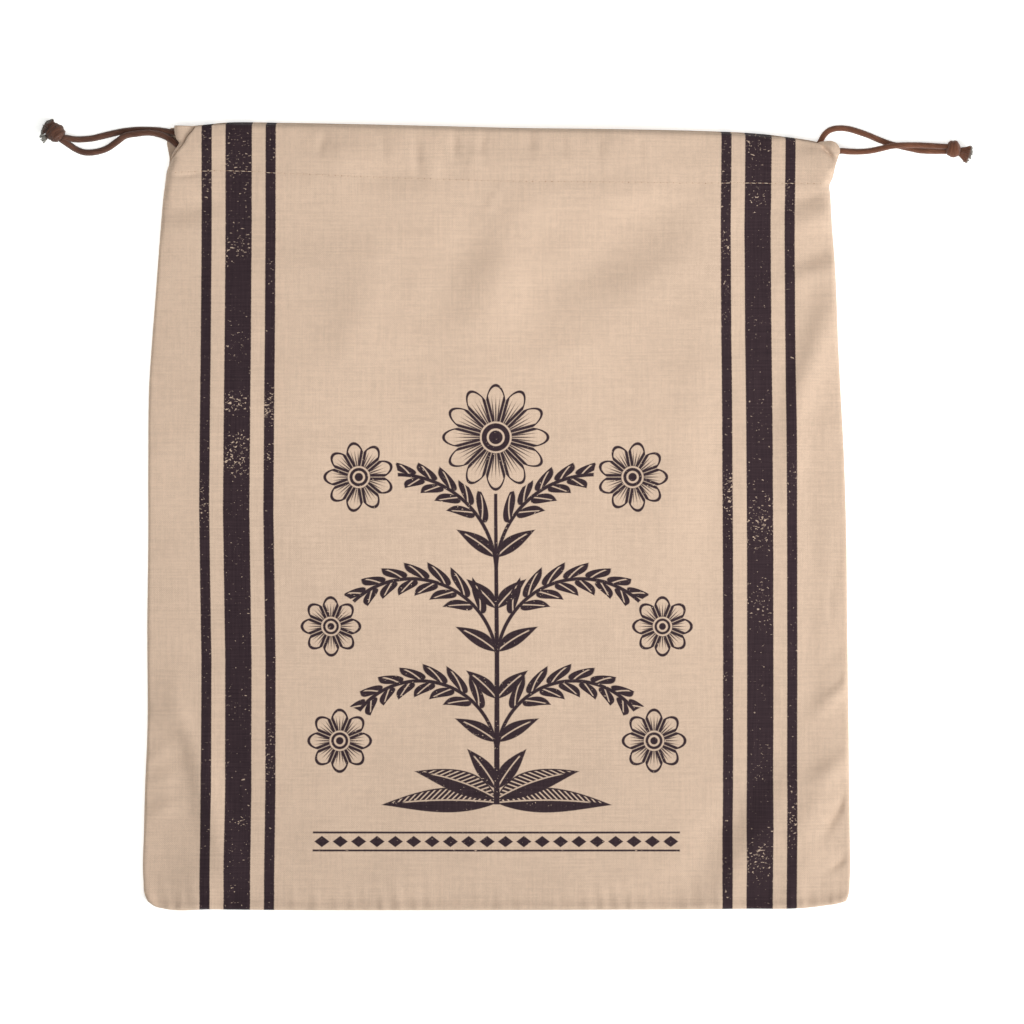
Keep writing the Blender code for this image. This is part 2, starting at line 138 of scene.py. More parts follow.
def ripples(x: np.ndarray, y: np.ndarray, length: float, seed: int) -> np.ndarray:
    """Soft random waves over the plan, with about the same length in every direction.

    Args:
        x: places across.
        y: places up.
        length: the waves' mean length.
        seed: seed of their directions and phases.

    Returns:
        A height from about -1 to 1 at each place.
    """
    chance = random.Random(seed)
    total = np.zeros(np.broadcast(x, y).shape)
    waves = 7
    for _ in range(waves):
        turn = chance.uniform(0, math.pi)
        wave = length * chance.uniform(0.7, 1.5)
        phase = chance.uniform(0, 2 * math.pi)
        along = x * math.cos(turn) + y * math.sin(turn)
        total = total + np.sin(2 * math.pi * along / wave + phase)
    return total / math.sqrt(waves)


def gathers(along: np.ndarray, pitch: float, seed: int) -> np.ndarray:
    """Uneven puckers along a seam: narrow ridges at a changing distance.

    Args:
        along: places along the seam.
        pitch: mean distance of the ridges.
        seed: seed of their phases.

    Returns:
        A height from 0 to about 1 at each place.
    """
    chance = random.Random(seed)
    phases = [chance.uniform(0, 2 * math.pi) for _ in range(4)]
    # The ridges stray to both sides of their even places, and swell and sink along the seam
    sway = 1.3 * np.sin(along / (pitch * 1.9) + phases[0]) + 0.8 * np.sin(along / (pitch * 0.83) + phases[1])
    ridge = (0.5 + 0.5 * np.sin(2 * math.pi * along / pitch + sway)) ** 2
    swell = np.sin(along / (pitch * 1.35) + phases[2]) * np.sin(along / (pitch * 3.1) + phases[3])
    return ridge * (0.55 + 0.45 * swell)


def pulled(rows: tuple[Row, ...], along: np.ndarray, away: np.ndarray) -> np.ndarray:
    """Sums the gathers of a table.

    Args:
        rows: mean pitch, seed, slant and height of each.
        along: places along the seam.
        away: distances from it, by which the slant moves the ridges.

    Returns:
        Their height at each place.
    """
    total = np.zeros(np.broadcast(along, away).shape)
    for pitch, seed, slant, height in rows:
        total = total + height * gathers(along + slant * away, pitch, seed)
    return total


def bell(distance: np.ndarray, half: float) -> np.ndarray:
    """Returns 1 at nought and a soft fall to both sides, to about a third at the half width."""
    return np.exp(-((distance / half) ** 2))


def mesh_object(name: str, shape: bmesh.types.BMesh, materials: Sequence[Material]) -> Object:
    """Turns a bmesh into an object at the origin.

    Args:
        name: the piece's name.
        shape: the finished bmesh, freed here.
        materials: the piece's materials, in the order of its faces' indices.

    Returns:
        The new object.
    """
    mesh = bpy.data.meshes.new(name)
    shape.to_mesh(mesh)
    shape.free()
    mesh.shade_smooth()
    for finish in materials:
        mesh.materials.append(finish)
    made = bpy.data.objects.new(name, mesh)
    bpy.context.scene.collection.objects.link(made)
    return made


def ball(shape: bmesh.types.BMesh, cells: tuple[int, int]) -> list[bmesh.types.BMVert]:
    """Adds a ball of radius 1 with the given cells round and up, and returns its corners."""
    made = bmesh.ops.create_uvsphere(shape, u_segments=cells[0], v_segments=cells[1], radius=1.0)
    return made["verts"]


def thicken(made: Object, thickness: float) -> None:
    """Gives a sheet its cloth's thickness, to both sides alike.

    Args:
        made: the sheet, whose second material is the cloth's inner side.
        thickness: the cloth's thickness in millimetres.
    """
    cloth = made.modifiers.new("cloth thickness", "SOLIDIFY")
    cloth.thickness = thickness * MM
    cloth.offset = 0.0
    cloth.material_offset = 1


# The bag's shape


@dataclass(frozen=True)
class BagLie:
    """How the bag lies: its outline in plan and the height of its cloth."""

    cloth: float = 1.0
    gap: float = 0.3
    cord: float = 3.0
    hem: float = 25.0
    middle_length: float = 399.3  # from the bottom seam to the top edge, in the middle of the bag
    hem_flat: float = 12.0
    hem_foot: float = 26.0
    stitched: float = 1.4
    outer_stitched: float = 4.0
    back_level: float = 0.5
    crown: float = 10.6
    seam_share: float = 0.22  # share of the crown that the cloth gains in its roll at a seam
    seam_roll: float = 0.25
    side_roll: float = 72.0
    bottom_roll: float = 96.0
    casing_left: float = -167.9
    casing_right: float = 176.5
    casing_rise: float = 4.3
    casing_rise_run: float = 22.0
    casing_roll: float = 2.5
    casing_lift_from: float = 4.0  # the hem's end stands as high as if it began this far outside its seam
    mouth_bow: float = 4.6
    mouth_bow_run: float = 110.0
    blend_run: float = 42.0
    fold_fade: float = 1.0
    fold_inside_hem: float = 6.0
    fold_top_run: float = 20.0

    # Side edges up to just under the casing: height, left edge, right edge
    sides: tuple[Row, ...] = (
        (-196.8, -177.6, 178.0), (-193.5, -179.3, 179.4), (-186.0, -180.1, 180.1),
        (-160.0, -179.8, 180.1), (-134.9, -179.1, 179.8), (-114.5, -178.2, 179.6),
        (-53.1, -178.1, 178.8), (-12.3, -177.6, 178.4), (28.6, -177.6, 177.2), (69.5, -177.0, 175.1),
        (89.9, -175.6, 174.1), (110.4, -174.0, 173.4), (130.8, -172.5, 172.4), (151.3, -170.9, 170.8),
        (163.5, -169.8, 170.2), (169.7, -169.0, 169.9), (172.8, -168.6, 171.4), (176.8, -167.9, 171.9),
    )
    # The back's top edge: distance across, height
    top_edge: tuple[Row, ...] = (
        (-168.0, 198.4), (-158.0, 199.3), (-150.0, 200.1), (-138.0, 201.0), (-110.0, 200.9),
        (-75.0, 200.3), (-35.0, 199.4), (10.0, 198.3), (60.0, 197.7), (105.0, 196.7), (130.0, 195.6),
        (145.0, 194.2), (155.0, 193.0), (164.3, 191.2), (171.5, 188.6),
    )
    # The bottom seam: distance across, height
    bottom_seam: tuple[Row, ...] = (
        (-177.6, -196.8), (-174.5, -199.0), (-170.0, -200.2), (-145.0, -200.6), (-20.0, -201.0),
        (60.0, -200.7), (125.0, -200.3), (160.0, -199.6), (168.0, -198.6), (173.5, -197.8),
        (178.0, -196.6),
    )

    @property
    def width(self) -> float:
        """Width of a panel as cut."""
        return 2 * self.sides[0][2]

    @property
    def cut_length(self) -> float:
        """Length of a panel as cut, with its hem."""
        highest = max(row[1] for row in self.top_edge)
        return highest - min(row[1] for row in self.bottom_seam) + self.hem

    @property
    def tunnel(self) -> float:
        """Clear height of the casing."""
        return self.cord + 2 * self.gap

    @property
    def fold(self) -> float:
        """Radius of the fold at the top edge, to the middle of the cloth."""
        return (self.tunnel + self.cloth) / 2

    @property
    def seam_level(self) -> float:
        """Middle of the front's cloth at its seams."""
        return self.back_level + self.cloth + self.gap

    @property
    def on_back(self) -> float:
        """Middle of a cord that lies on the back panel."""
        return self.cloth + self.gap + self.cord / 2

    def top(self, x: np.ndarray | float) -> np.ndarray:
        """Height in plan of the back's top edge."""
        return Curve(self.top_edge).read(1, x)

    def bottom(self, x: np.ndarray | float) -> np.ndarray:
        """Height in plan of the bottom seam."""
        return Curve(self.bottom_seam).read(1, x)

    def rise(self, distance: np.ndarray, roll: float) -> np.ndarray:
        """Share of the crown at a distance from a seam: a short round roll and then a long slope."""
        first = self.seam_share * (1 - np.exp(-distance / self.seam_roll))
        return first + (1 - self.seam_share) * (1 - np.exp(-distance / roll))

    def layer_distance(self, below: np.ndarray, stitched: float) -> np.ndarray:
        """Distance between the two layers of a hem, which falls to the given one at its stitches."""
        share = smooth((below - self.hem_flat) / (self.hem_foot - self.hem_flat))
        return 2 * self.fold * (1 - share) + stitched * share

    def hem_level(self, x: np.ndarray | float) -> np.ndarray:
        """Height of the front hem's inner layer, which bows up towards the middle of the mouth."""
        edge = np.minimum(x - self.casing_left, self.casing_right - x)
        inland = np.maximum(edge, 0.0) + self.casing_lift_from
        rise = self.casing_rise * (1 - np.exp(-inland / self.casing_roll))
        bow = self.mouth_bow * smooth((edge - self.casing_rise_run) / self.mouth_bow_run)
        return self.seam_level + rise + bow


def crease_relief(creases: tuple[Row, ...], x: np.ndarray, y: np.ndarray) -> np.ndarray:
    """Height of soft troughs and ridges.

    Args:
        creases: middle across, middle up, degrees, half length, half width, height and bend of each.
            A ridge has a height above nought, and a bend of 0.01 lifts it 1 mm at 10 mm from its middle.
        x: places across.
        y: places up.

    Returns:
        The sum of all their heights at each place.
    """
    total = np.zeros(np.broadcast(x, y).shape)
    for middle_x, middle_y, direction, half_length, half_width, height, bend in creases:
        turn = math.radians(direction)
        along = (x - middle_x) * math.cos(turn) + (y - middle_y) * math.sin(turn)
        beside = (y - middle_y) * math.cos(turn) - (x - middle_x) * math.sin(turn) - bend * along**2
        total = total + height * bell(along, half_length) * bell(beside, half_width)
    return total


LIE = BagLie()


# Materials


@dataclass
class Shading:
    """A material's node tree while it is drawn."""

    name: str
    material: Material = field(init=False)

    def __post_init__(self) -> None:
        """Starts an empty node material."""
        self.material = bpy.data.materials.new(self.name)
        self.material.use_nodes = True
        self.material.node_tree.nodes.clear()

    def node(
        self, kind: str, *inputs: Value | Sequence[float], out: int = 0, **settings: object
    ) -> NodeSocket:
        """Adds a node with its settings and links.

        Args:
            kind: the node's type without its prefix, or the operation of a Math node in capitals.
            inputs: a socket or a value for each input in order. None leaves one as it is.
            out: which output to return.
            settings: the node's own settings, and inputs by name where the name is no setting.

        Returns:
            The output socket.
        """
        nodes = self.material.node_tree.nodes
        made = nodes.new("ShaderNode" + ("Math" if kind.isupper() else kind))
        if kind.isupper():
            made.operation = kind
        given: list[tuple[int | str, object]] = list(enumerate(inputs))
        for name, value in settings.items():
            if hasattr(made, name):
                setattr(made, name, value)
            else:
                given.append((name.replace("_", " "), value))
        for key, value in given:
            if isinstance(value, NodeSocket):
                self.material.node_tree.links.new(value, made.inputs[key])
            elif value is not None:
                made.inputs[key].default_value = value
        return made.outputs[out] if made.outputs else None

    def finish(
        self,
        colour: NodeSocket,
        roughness: Value,
        bump: NodeSocket,
        depth: float,
        sheen: float,
        glow: float = 0.0,
    ) -> Material:
        """Closes the tree with a Principled shader.

        Args:
            colour: the base colour.
            roughness: one value, or a socket where it changes over the surface.
            bump: height of the fine relief, from 0 to 1.
            depth: depth of that relief in millimetres.
            sheen: weight of the fibres' sheen.
            glow: light that shines through from below, for a lit table.

        Returns:
            The finished material.
        """
        normal = self.node("Bump", Strength=1.0, Distance=depth * MM, Height=bump)
        shader = self.node(
            "BsdfPrincipled",
            Base_Color=colour,
            Roughness=roughness,
            Normal=normal,
            Sheen_Weight=sheen,
            Sheen_Roughness=0.5,
            Specular_IOR_Level=0.2,
            Emission_Color=(1.0, 1.0, 1.0, 1.0),
            Emission_Strength=glow,
            IOR=1.5,
        )
        self.node("OutputMaterial", shader)
        return self.material


def cloth_places(shading: Shading) -> tuple[NodeSocket, NodeSocket, NodeSocket]:
    """Reads the cloth's own flat coordinates in millimetres.

    Args:
        shading: the material.

    Returns:
        The coordinates as a vector, the place across and the place up.
    """
    flat = shading.node("UVMap", uv_map="cloth")
    places = shading.node("VectorMath", flat, (1 / MM, 1 / MM, 0.0), operation="MULTIPLY")
    across = shading.node("SeparateXYZ", places)
    return places, across, across.node.outputs[1]


def swings(shading: Shading, start: Value, values: Sequence[NodeSocket], strengths: Row) -> NodeSocket:
    """Adds to a value how far others swing from their middle, and keeps the sum from 0 to 1.

    Args:
        shading: the material.
        start: the value they are added to.
        values: the others, each from 0 to 1.
        strengths: how strongly each of them counts.

    Returns:
        The sum.
    """
    total = start
    for value, strength in zip(values, strengths):
        total = shading.node("MULTIPLY_ADD", shading.node("SUBTRACT", value, 0.5), strength, total)
    total.node.use_clamp = True
    return total


def blend(shading: Shading, share: Value, low: Value | Row, high: Value | Row) -> NodeSocket:
    """Mixes two colours.

    Args:
        shading: the material.
        share: 0 for the first colour and 1 for the second.
        low: the first colour.
        high: the second colour.

    Returns:
        The mixed colour.
    """
    mixed = shading.node("Mix", data_type="RGBA", out=2)
    tree = shading.material.node_tree
    for place, value in ((0, share), (6, low), (7, high)):
        if isinstance(value, NodeSocket):
            tree.links.new(value, mixed.node.inputs[place])
        else:
            mixed.node.inputs[place].default_value = value
    return mixed


@dataclass(frozen=True)
class FloweringStem:
    """A generic flowering stem over a patterned rule, printed in one colour: a design of its own.

    The left half mirrors the right one. Sizes are in millimetres from the design's middle.
    """

    middle: tuple[float, float] = (0.0, -49.0)
    foot: float = -98.0
    head: float = 66.0
    line: float = 1.15
    # Arched branches: radius, height where it leaves the stem, degrees it turns through, leaf length,
    # radius of the flower at its end, and that flower's petals
    branches: tuple[Row, ...] = (
        (39.0, -74.0, 148.0, 14.5, 16.0, 8.0),
        (43.0, -26.0, 138.0, 15.0, 15.0, 8.0),
        (50.0, 20.0, 94.0, 14.5, 17.5, 9.0),
    )
    leaves_from: float = 25.0
    # The flower at the top: height, radius, petals
    top_flower: Row = (89.0, 26.5, 12.0)
    # Broad leaves: height of the foot, direction in degrees, length, half width, curl
    leaves: tuple[Row, ...] = (
        (-97.0, 6.0, 58.0, 6.4, -0.0022),
        (-95.0, 31.0, 43.0, 6.2, -0.0052),
        (-90.0, 62.0, 25.0, 4.2, -0.006),
        (-66.0, 40.0, 24.0, 3.8, -0.008),
        (-44.0, 52.0, 21.0, 3.6, -0.008),
        (-20.0, 42.0, 24.0, 3.8, -0.008),
        (2.0, 54.0, 21.0, 3.6, -0.008),
        (28.0, 46.0, 24.0, 3.8, -0.008),
    )
    leaf_pitch: float = 11.0
    leaf_half: float = 3.4
    lean: float = 46.0
    lean_bend: float = 0.03
    midrib: float = 0.32
    hatch: float = 2.7
    hatch_slant: float = 0.9
    hatch_cut: float = 0.16  # half a cut, as a share of the hatching's pitch
    hatched_from: float = 5.0  # leaves with a greater half width than this are hatched
    outline: float = 0.75  # half the width of the line round a petal or a hatched leaf
    # A flower, in shares of its radius: its eye, where its petals end and how round their ends are, and
    # where their fine lines end. The ring in the eye is a share of the eye.
    eye: float = 0.27
    petal_end: float = 0.72
    petal_round: float = 0.3
    rays_end: float = 0.82
    ring: float = 0.56
    rays: float = 5.0
    clear: float = 2.2  # bare cloth round a flower
    # The rule under the stem: height, half width, half height, pitch of its diamonds, half a diamond
    rule: Row = (-117.0, 93.0, 4.6, 9.3, 2.9)
    rule_line: float = 0.5

    def leaf(
        self, shading: Shading, along: Value, beside: Value, length: Value, half: float, hatched: bool
    ) -> NodeSocket:
        """Draws one leaf: a pointed shape with a bare midrib.

        Args:
            shading: the material.
            along: distance from the leaf's foot.
            beside: distance from its midrib, below nought on one side.
            length: the leaf's length.
            half: its greatest half width.
            hatched: whether one half is cut with fine lines.

        Returns:
            How far a place lies inside the ink.
        """
        n = shading.node
        share = n("DIVIDE", along, length, use_clamp=True)
        swell = n("SINE", n("MULTIPLY", n("POWER", share, 0.8), math.pi))
        off = n("ABSOLUTE", beside)
        body = n("SUBTRACT", n("MULTIPLY", swell, half), off)
        tip = n("MULTIPLY", n("SUBTRACT", length, along), 0.5)
        rib_end = n("MULTIPLY", n("SUBTRACT", share, 0.8), 9.0)
        rib = n("MAXIMUM", n("SUBTRACT", off, self.midrib), rib_end)
        drawn = n("MINIMUM", n("MINIMUM", body, tip), rib)
        if not hatched:
            return drawn
        slant = n("MULTIPLY_ADD", off, self.hatch_slant, along)
        wave = n("ABSOLUTE", n("SUBTRACT", n("FRACT", n("DIVIDE", slant, self.hatch)), 0.5))
        cut = n("MULTIPLY", n("SUBTRACT", wave, self.hatch_cut), self.hatch)
        rim = n("SUBTRACT", self.outline, body)
        kept = n("MAXIMUM", n("MAXIMUM", cut, rim), n("SUBTRACT", 0.35, beside))
        return n("MINIMUM", drawn, kept)

    def sprig(
        self, shading: Shading, along: Value, beside: Value, start: float, end: float, leaf: float
    ) -> NodeSocket:
        """Draws a thin stem with leaves that stand by turns on its two sides and lean forward.

        Args:
            shading: the material.
            along: distance along the stem.
            beside: distance from it, below nought on one side.
            start: where its leaves begin.
            end: where the stem ends.
            leaf: length of its largest leaf.

        Returns:
            How far a place lies inside the ink.
        """
        n = shading.node
        off = n("ABSOLUTE", beside)
        lean = math.radians(self.lean)
        turn = n("MULTIPLY", n("LESS_THAN", beside, 0.0), 0.5)
        bend = n("MULTIPLY_ADD", off, self.lean_bend, 1 / math.tan(lean))
        foot = n("SUBTRACT", along, n("MULTIPLY", off, bend))
        cell = n("ADD", n("DIVIDE", foot, self.leaf_pitch), turn)
        whole = n("FLOOR", cell)
        place = n("MULTIPLY", n("SUBTRACT", n("ADD", whole, 0.5), turn), self.leaf_pitch)
        from_rib = n("SUBTRACT", n("SUBTRACT", cell, whole), 0.5)
        across = n("MULTIPLY", from_rib, self.leaf_pitch * math.sin(lean))
        size = n("MapRange", place, start, end, 1.0, 0.5)
        length = n("MULTIPLY", size, leaf)
        reach = n("DIVIDE", off, math.sin(lean))
        drawn = self.leaf(shading, reach, across, length, self.leaf_half, False)
        last = end - self.leaf_pitch * 0.6
        inside = n("MINIMUM", n("SUBTRACT", place, start), n("SUBTRACT", last, place))
        leaves = n("MINIMUM", drawn, inside)
        stem = n("SUBTRACT", self.line * 0.8, off)
        run = n("MINIMUM", along, n("SUBTRACT", end, along))
        return n("MAXIMUM", leaves, n("MINIMUM", stem, run))

    def branch(self, shading: Shading, x: Value, y: Value, row: Row) -> NodeSocket:
        """Draws one arched branch, which leaves the stem upright and bends outward.

        Args:
            shading: the material.
            x: distance from the design's axis.
            y: height in the design.
            row: the branch's row in the table.

        Returns:
            How far a place lies inside the ink.
        """
        n = shading.node
        radius, height, turn, leaf = row[:4]
        across = n("SUBTRACT", x, radius)
        up = n("SUBTRACT", y, height)
        away = n("VectorMath", n("CombineXYZ", across, up, 0.0), operation="LENGTH", out=1)
        angle = n("SUBTRACT", math.pi, n("ARCTAN2", up, across))
        along = n("MULTIPLY", angle, radius)
        beside = n("SUBTRACT", away, radius)
        return self.sprig(shading, along, beside, self.leaves_from, radius * math.radians(turn), leaf)

    def blooms(self) -> list[Row]:
        """Works out the flowers' places.

        Returns:
            For each flower its place across and up, its radius and its petals.
        """
        found = [(0.0, *self.top_flower)]
        for radius, height, turn, _, size, petals in self.branches:
            angle = math.radians(turn)
            across = radius * (1 - math.cos(angle)) + math.sin(angle) * size * 0.9
            up = height + radius * math.sin(angle) + math.cos(angle) * size * 0.9
            found.append((across, up, size, petals))
        return found

    def flower(self, shading: Shading, x: Value, y: Value, row: Row) -> tuple[NodeSocket, NodeSocket]:
        """Draws one round flower.

        Args:
            shading: the material.
            x: distance from the design's axis.
            y: height in the design.
            row: the flower's place across and up, its radius and its petals.

        Returns:
            How far a place lies inside the ink, and its distance from the flower's middle.
        """
        n = shading.node
        middle_x, middle_y, radius, petals = row
        eye = radius * self.eye
        across = n("SUBTRACT", x, middle_x)
        up = n("SUBTRACT", y, middle_y)
        away = n("VectorMath", n("CombineXYZ", across, up, 0.0), operation="LENGTH", out=1)
        angle = n("MULTIPLY_ADD", n("ARCTAN2", up, across), petals / (2 * math.pi), 50.5)
        cell = n("ABSOLUTE", n("SUBTRACT", n("FRACT", angle), 0.5))
        curve = n("COSINE", n("MULTIPLY", cell, math.pi))
        round_end = n("MULTIPLY_ADD", curve, radius * self.petal_round, radius * self.petal_end)
        step = 2 * math.pi / petals
        parting = n("MULTIPLY_ADD", n("MULTIPLY", n("SUBTRACT", 0.5, cell), away), step, -0.3)
        petal = n("MINIMUM", n("SUBTRACT", round_end, away), parting)
        outline = n("SUBTRACT", self.outline, n("ABSOLUTE", n("SUBTRACT", petal, 0.6)))
        lines = n("ABSOLUTE", n("SUBTRACT", n("FRACT", n("MULTIPLY", angle, self.rays)), 0.5))
        thick = n("MapRange", away, eye, radius * self.rays_end, 0.42, -0.06)
        shade = n("MULTIPLY", n("SUBTRACT", thick, lines), n("MULTIPLY", away, step / self.rays))
        drawn = n("MAXIMUM", outline, n("MINIMUM", petal, shade))
        drawn = n("MINIMUM", drawn, n("SUBTRACT", away, eye + 0.9))
        ring = n("SUBTRACT", n("ABSOLUTE", n("SUBTRACT", away, eye * self.ring)), 0.5)
        seeds = n("MINIMUM", n("SUBTRACT", eye, away), ring)
        return n("MAXIMUM", drawn, seeds), away

    def broad_leaf(self, shading: Shading, x: Value, y: Value, row: Row) -> NodeSocket:
        """Draws one broad leaf with a curved midrib, from its foot on the stem.

        Args:
            shading: the material.
            x: distance from the design's axis.
            y: height in the design.
            row: the leaf's row in the table.

        Returns:
            How far a place lies inside the ink.
        """
        n = shading.node
        foot, direction, length, half, curl = row
        turn = math.radians(direction)
        up = n("SUBTRACT", y, foot)
        along = n("MULTIPLY_ADD", x, math.cos(turn), n("MULTIPLY", up, math.sin(turn)))
        beside = n("MULTIPLY_ADD", x, -math.sin(turn), n("MULTIPLY", up, math.cos(turn)))
        bent = n("SUBTRACT", beside, n("MULTIPLY", n("MULTIPLY", along, along), curl))
        hatched = half > self.hatched_from
        return n("MINIMUM", self.leaf(shading, along, bent, length, half, hatched), along)

    def ground_rule(self, shading: Shading, x: Value, y: Value) -> NodeSocket:
        """Draws the rule: a row of diamonds between two lines.

        Args:
            shading: the material.
            x: distance from the design's axis.
            y: height in the design.

        Returns:
            How far a place lies inside the ink.
        """
        n = shading.node
        height, half, lines, pitch, diamond = self.rule
        off = n("ABSOLUTE", n("SUBTRACT", y, height))
        line = n("SUBTRACT", self.rule_line, n("ABSOLUTE", n("SUBTRACT", off, lines)))
        cell = n("ABSOLUTE", n("SUBTRACT", n("FRACT", n("DIVIDE", x, pitch)), 0.5))
        shape = n("MULTIPLY_ADD", cell, -pitch * 0.75, n("SUBTRACT", diamond, off))
        return n("MINIMUM", n("MAXIMUM", line, shape), n("SUBTRACT", half, x))

    def ink(self, shading: Shading, across: NodeSocket, up: NodeSocket) -> NodeSocket:
        """Draws the whole design.

        Args:
            shading: the material.
            across: place across the cloth.
            up: place up the cloth.

        Returns:
            How far a place lies inside the ink, in millimetres.
        """
        n = shading.node
        y = n("SUBTRACT", up, self.middle[1])
        x = n("ABSOLUTE", n("SUBTRACT", across, self.middle[0]))
        taper = n("MapRange", y, self.foot, self.head, self.line * 1.3, self.line * 0.7)
        run = n("MINIMUM", n("SUBTRACT", y, self.foot), n("SUBTRACT", self.head, y))
        drawn = n("MINIMUM", n("SUBTRACT", taper, x), run)
        for row in self.branches:
            drawn = n("MAXIMUM", drawn, self.branch(shading, x, y, row))
        for row in self.leaves:
            drawn = n("MAXIMUM", drawn, self.broad_leaf(shading, x, y, row))
        for row in self.blooms():
            bloom, away = self.flower(shading, x, y, row)
            drawn = n("MINIMUM", drawn, n("SUBTRACT", away, row[2] + self.clear))
            drawn = n("MAXIMUM", drawn, bloom)
        return n("MAXIMUM", drawn, self.ground_rule(shading, x, y))


@dataclass(frozen=True)
class SackStripes:
    """The stripes that run up both sides: a wide one between two narrow ones."""

    middle: float = 1.2
    from_middle: float = 132.45
    wide_half: float = 6.75
    narrow_half: float = 2.6
    narrow_from_wide: float = 16.35

    def ink(self, shading: Shading, across: NodeSocket, rough: NodeSocket) -> NodeSocket:
        """Draws all six stripes.

        Args:
            shading: the material.
            across: place across the cloth.
            rough: how far the ink's edge strays.

        Returns:
            How far a place lies inside the ink, in millimetres.
        """
        n = shading.node
        side = n("ABSOLUTE", n("SUBTRACT", across, self.middle))
        group = n("ABSOLUTE", n("SUBTRACT", side, self.from_middle))
        wide = n("SUBTRACT", self.wide_half, group)
        beside = n("ABSOLUTE", n("SUBTRACT", group, self.narrow_from_wide))
        narrow = n("SUBTRACT", self.narrow_half, beside)
        return n("ADD", n("MAXIMUM", wide, narrow), rough)


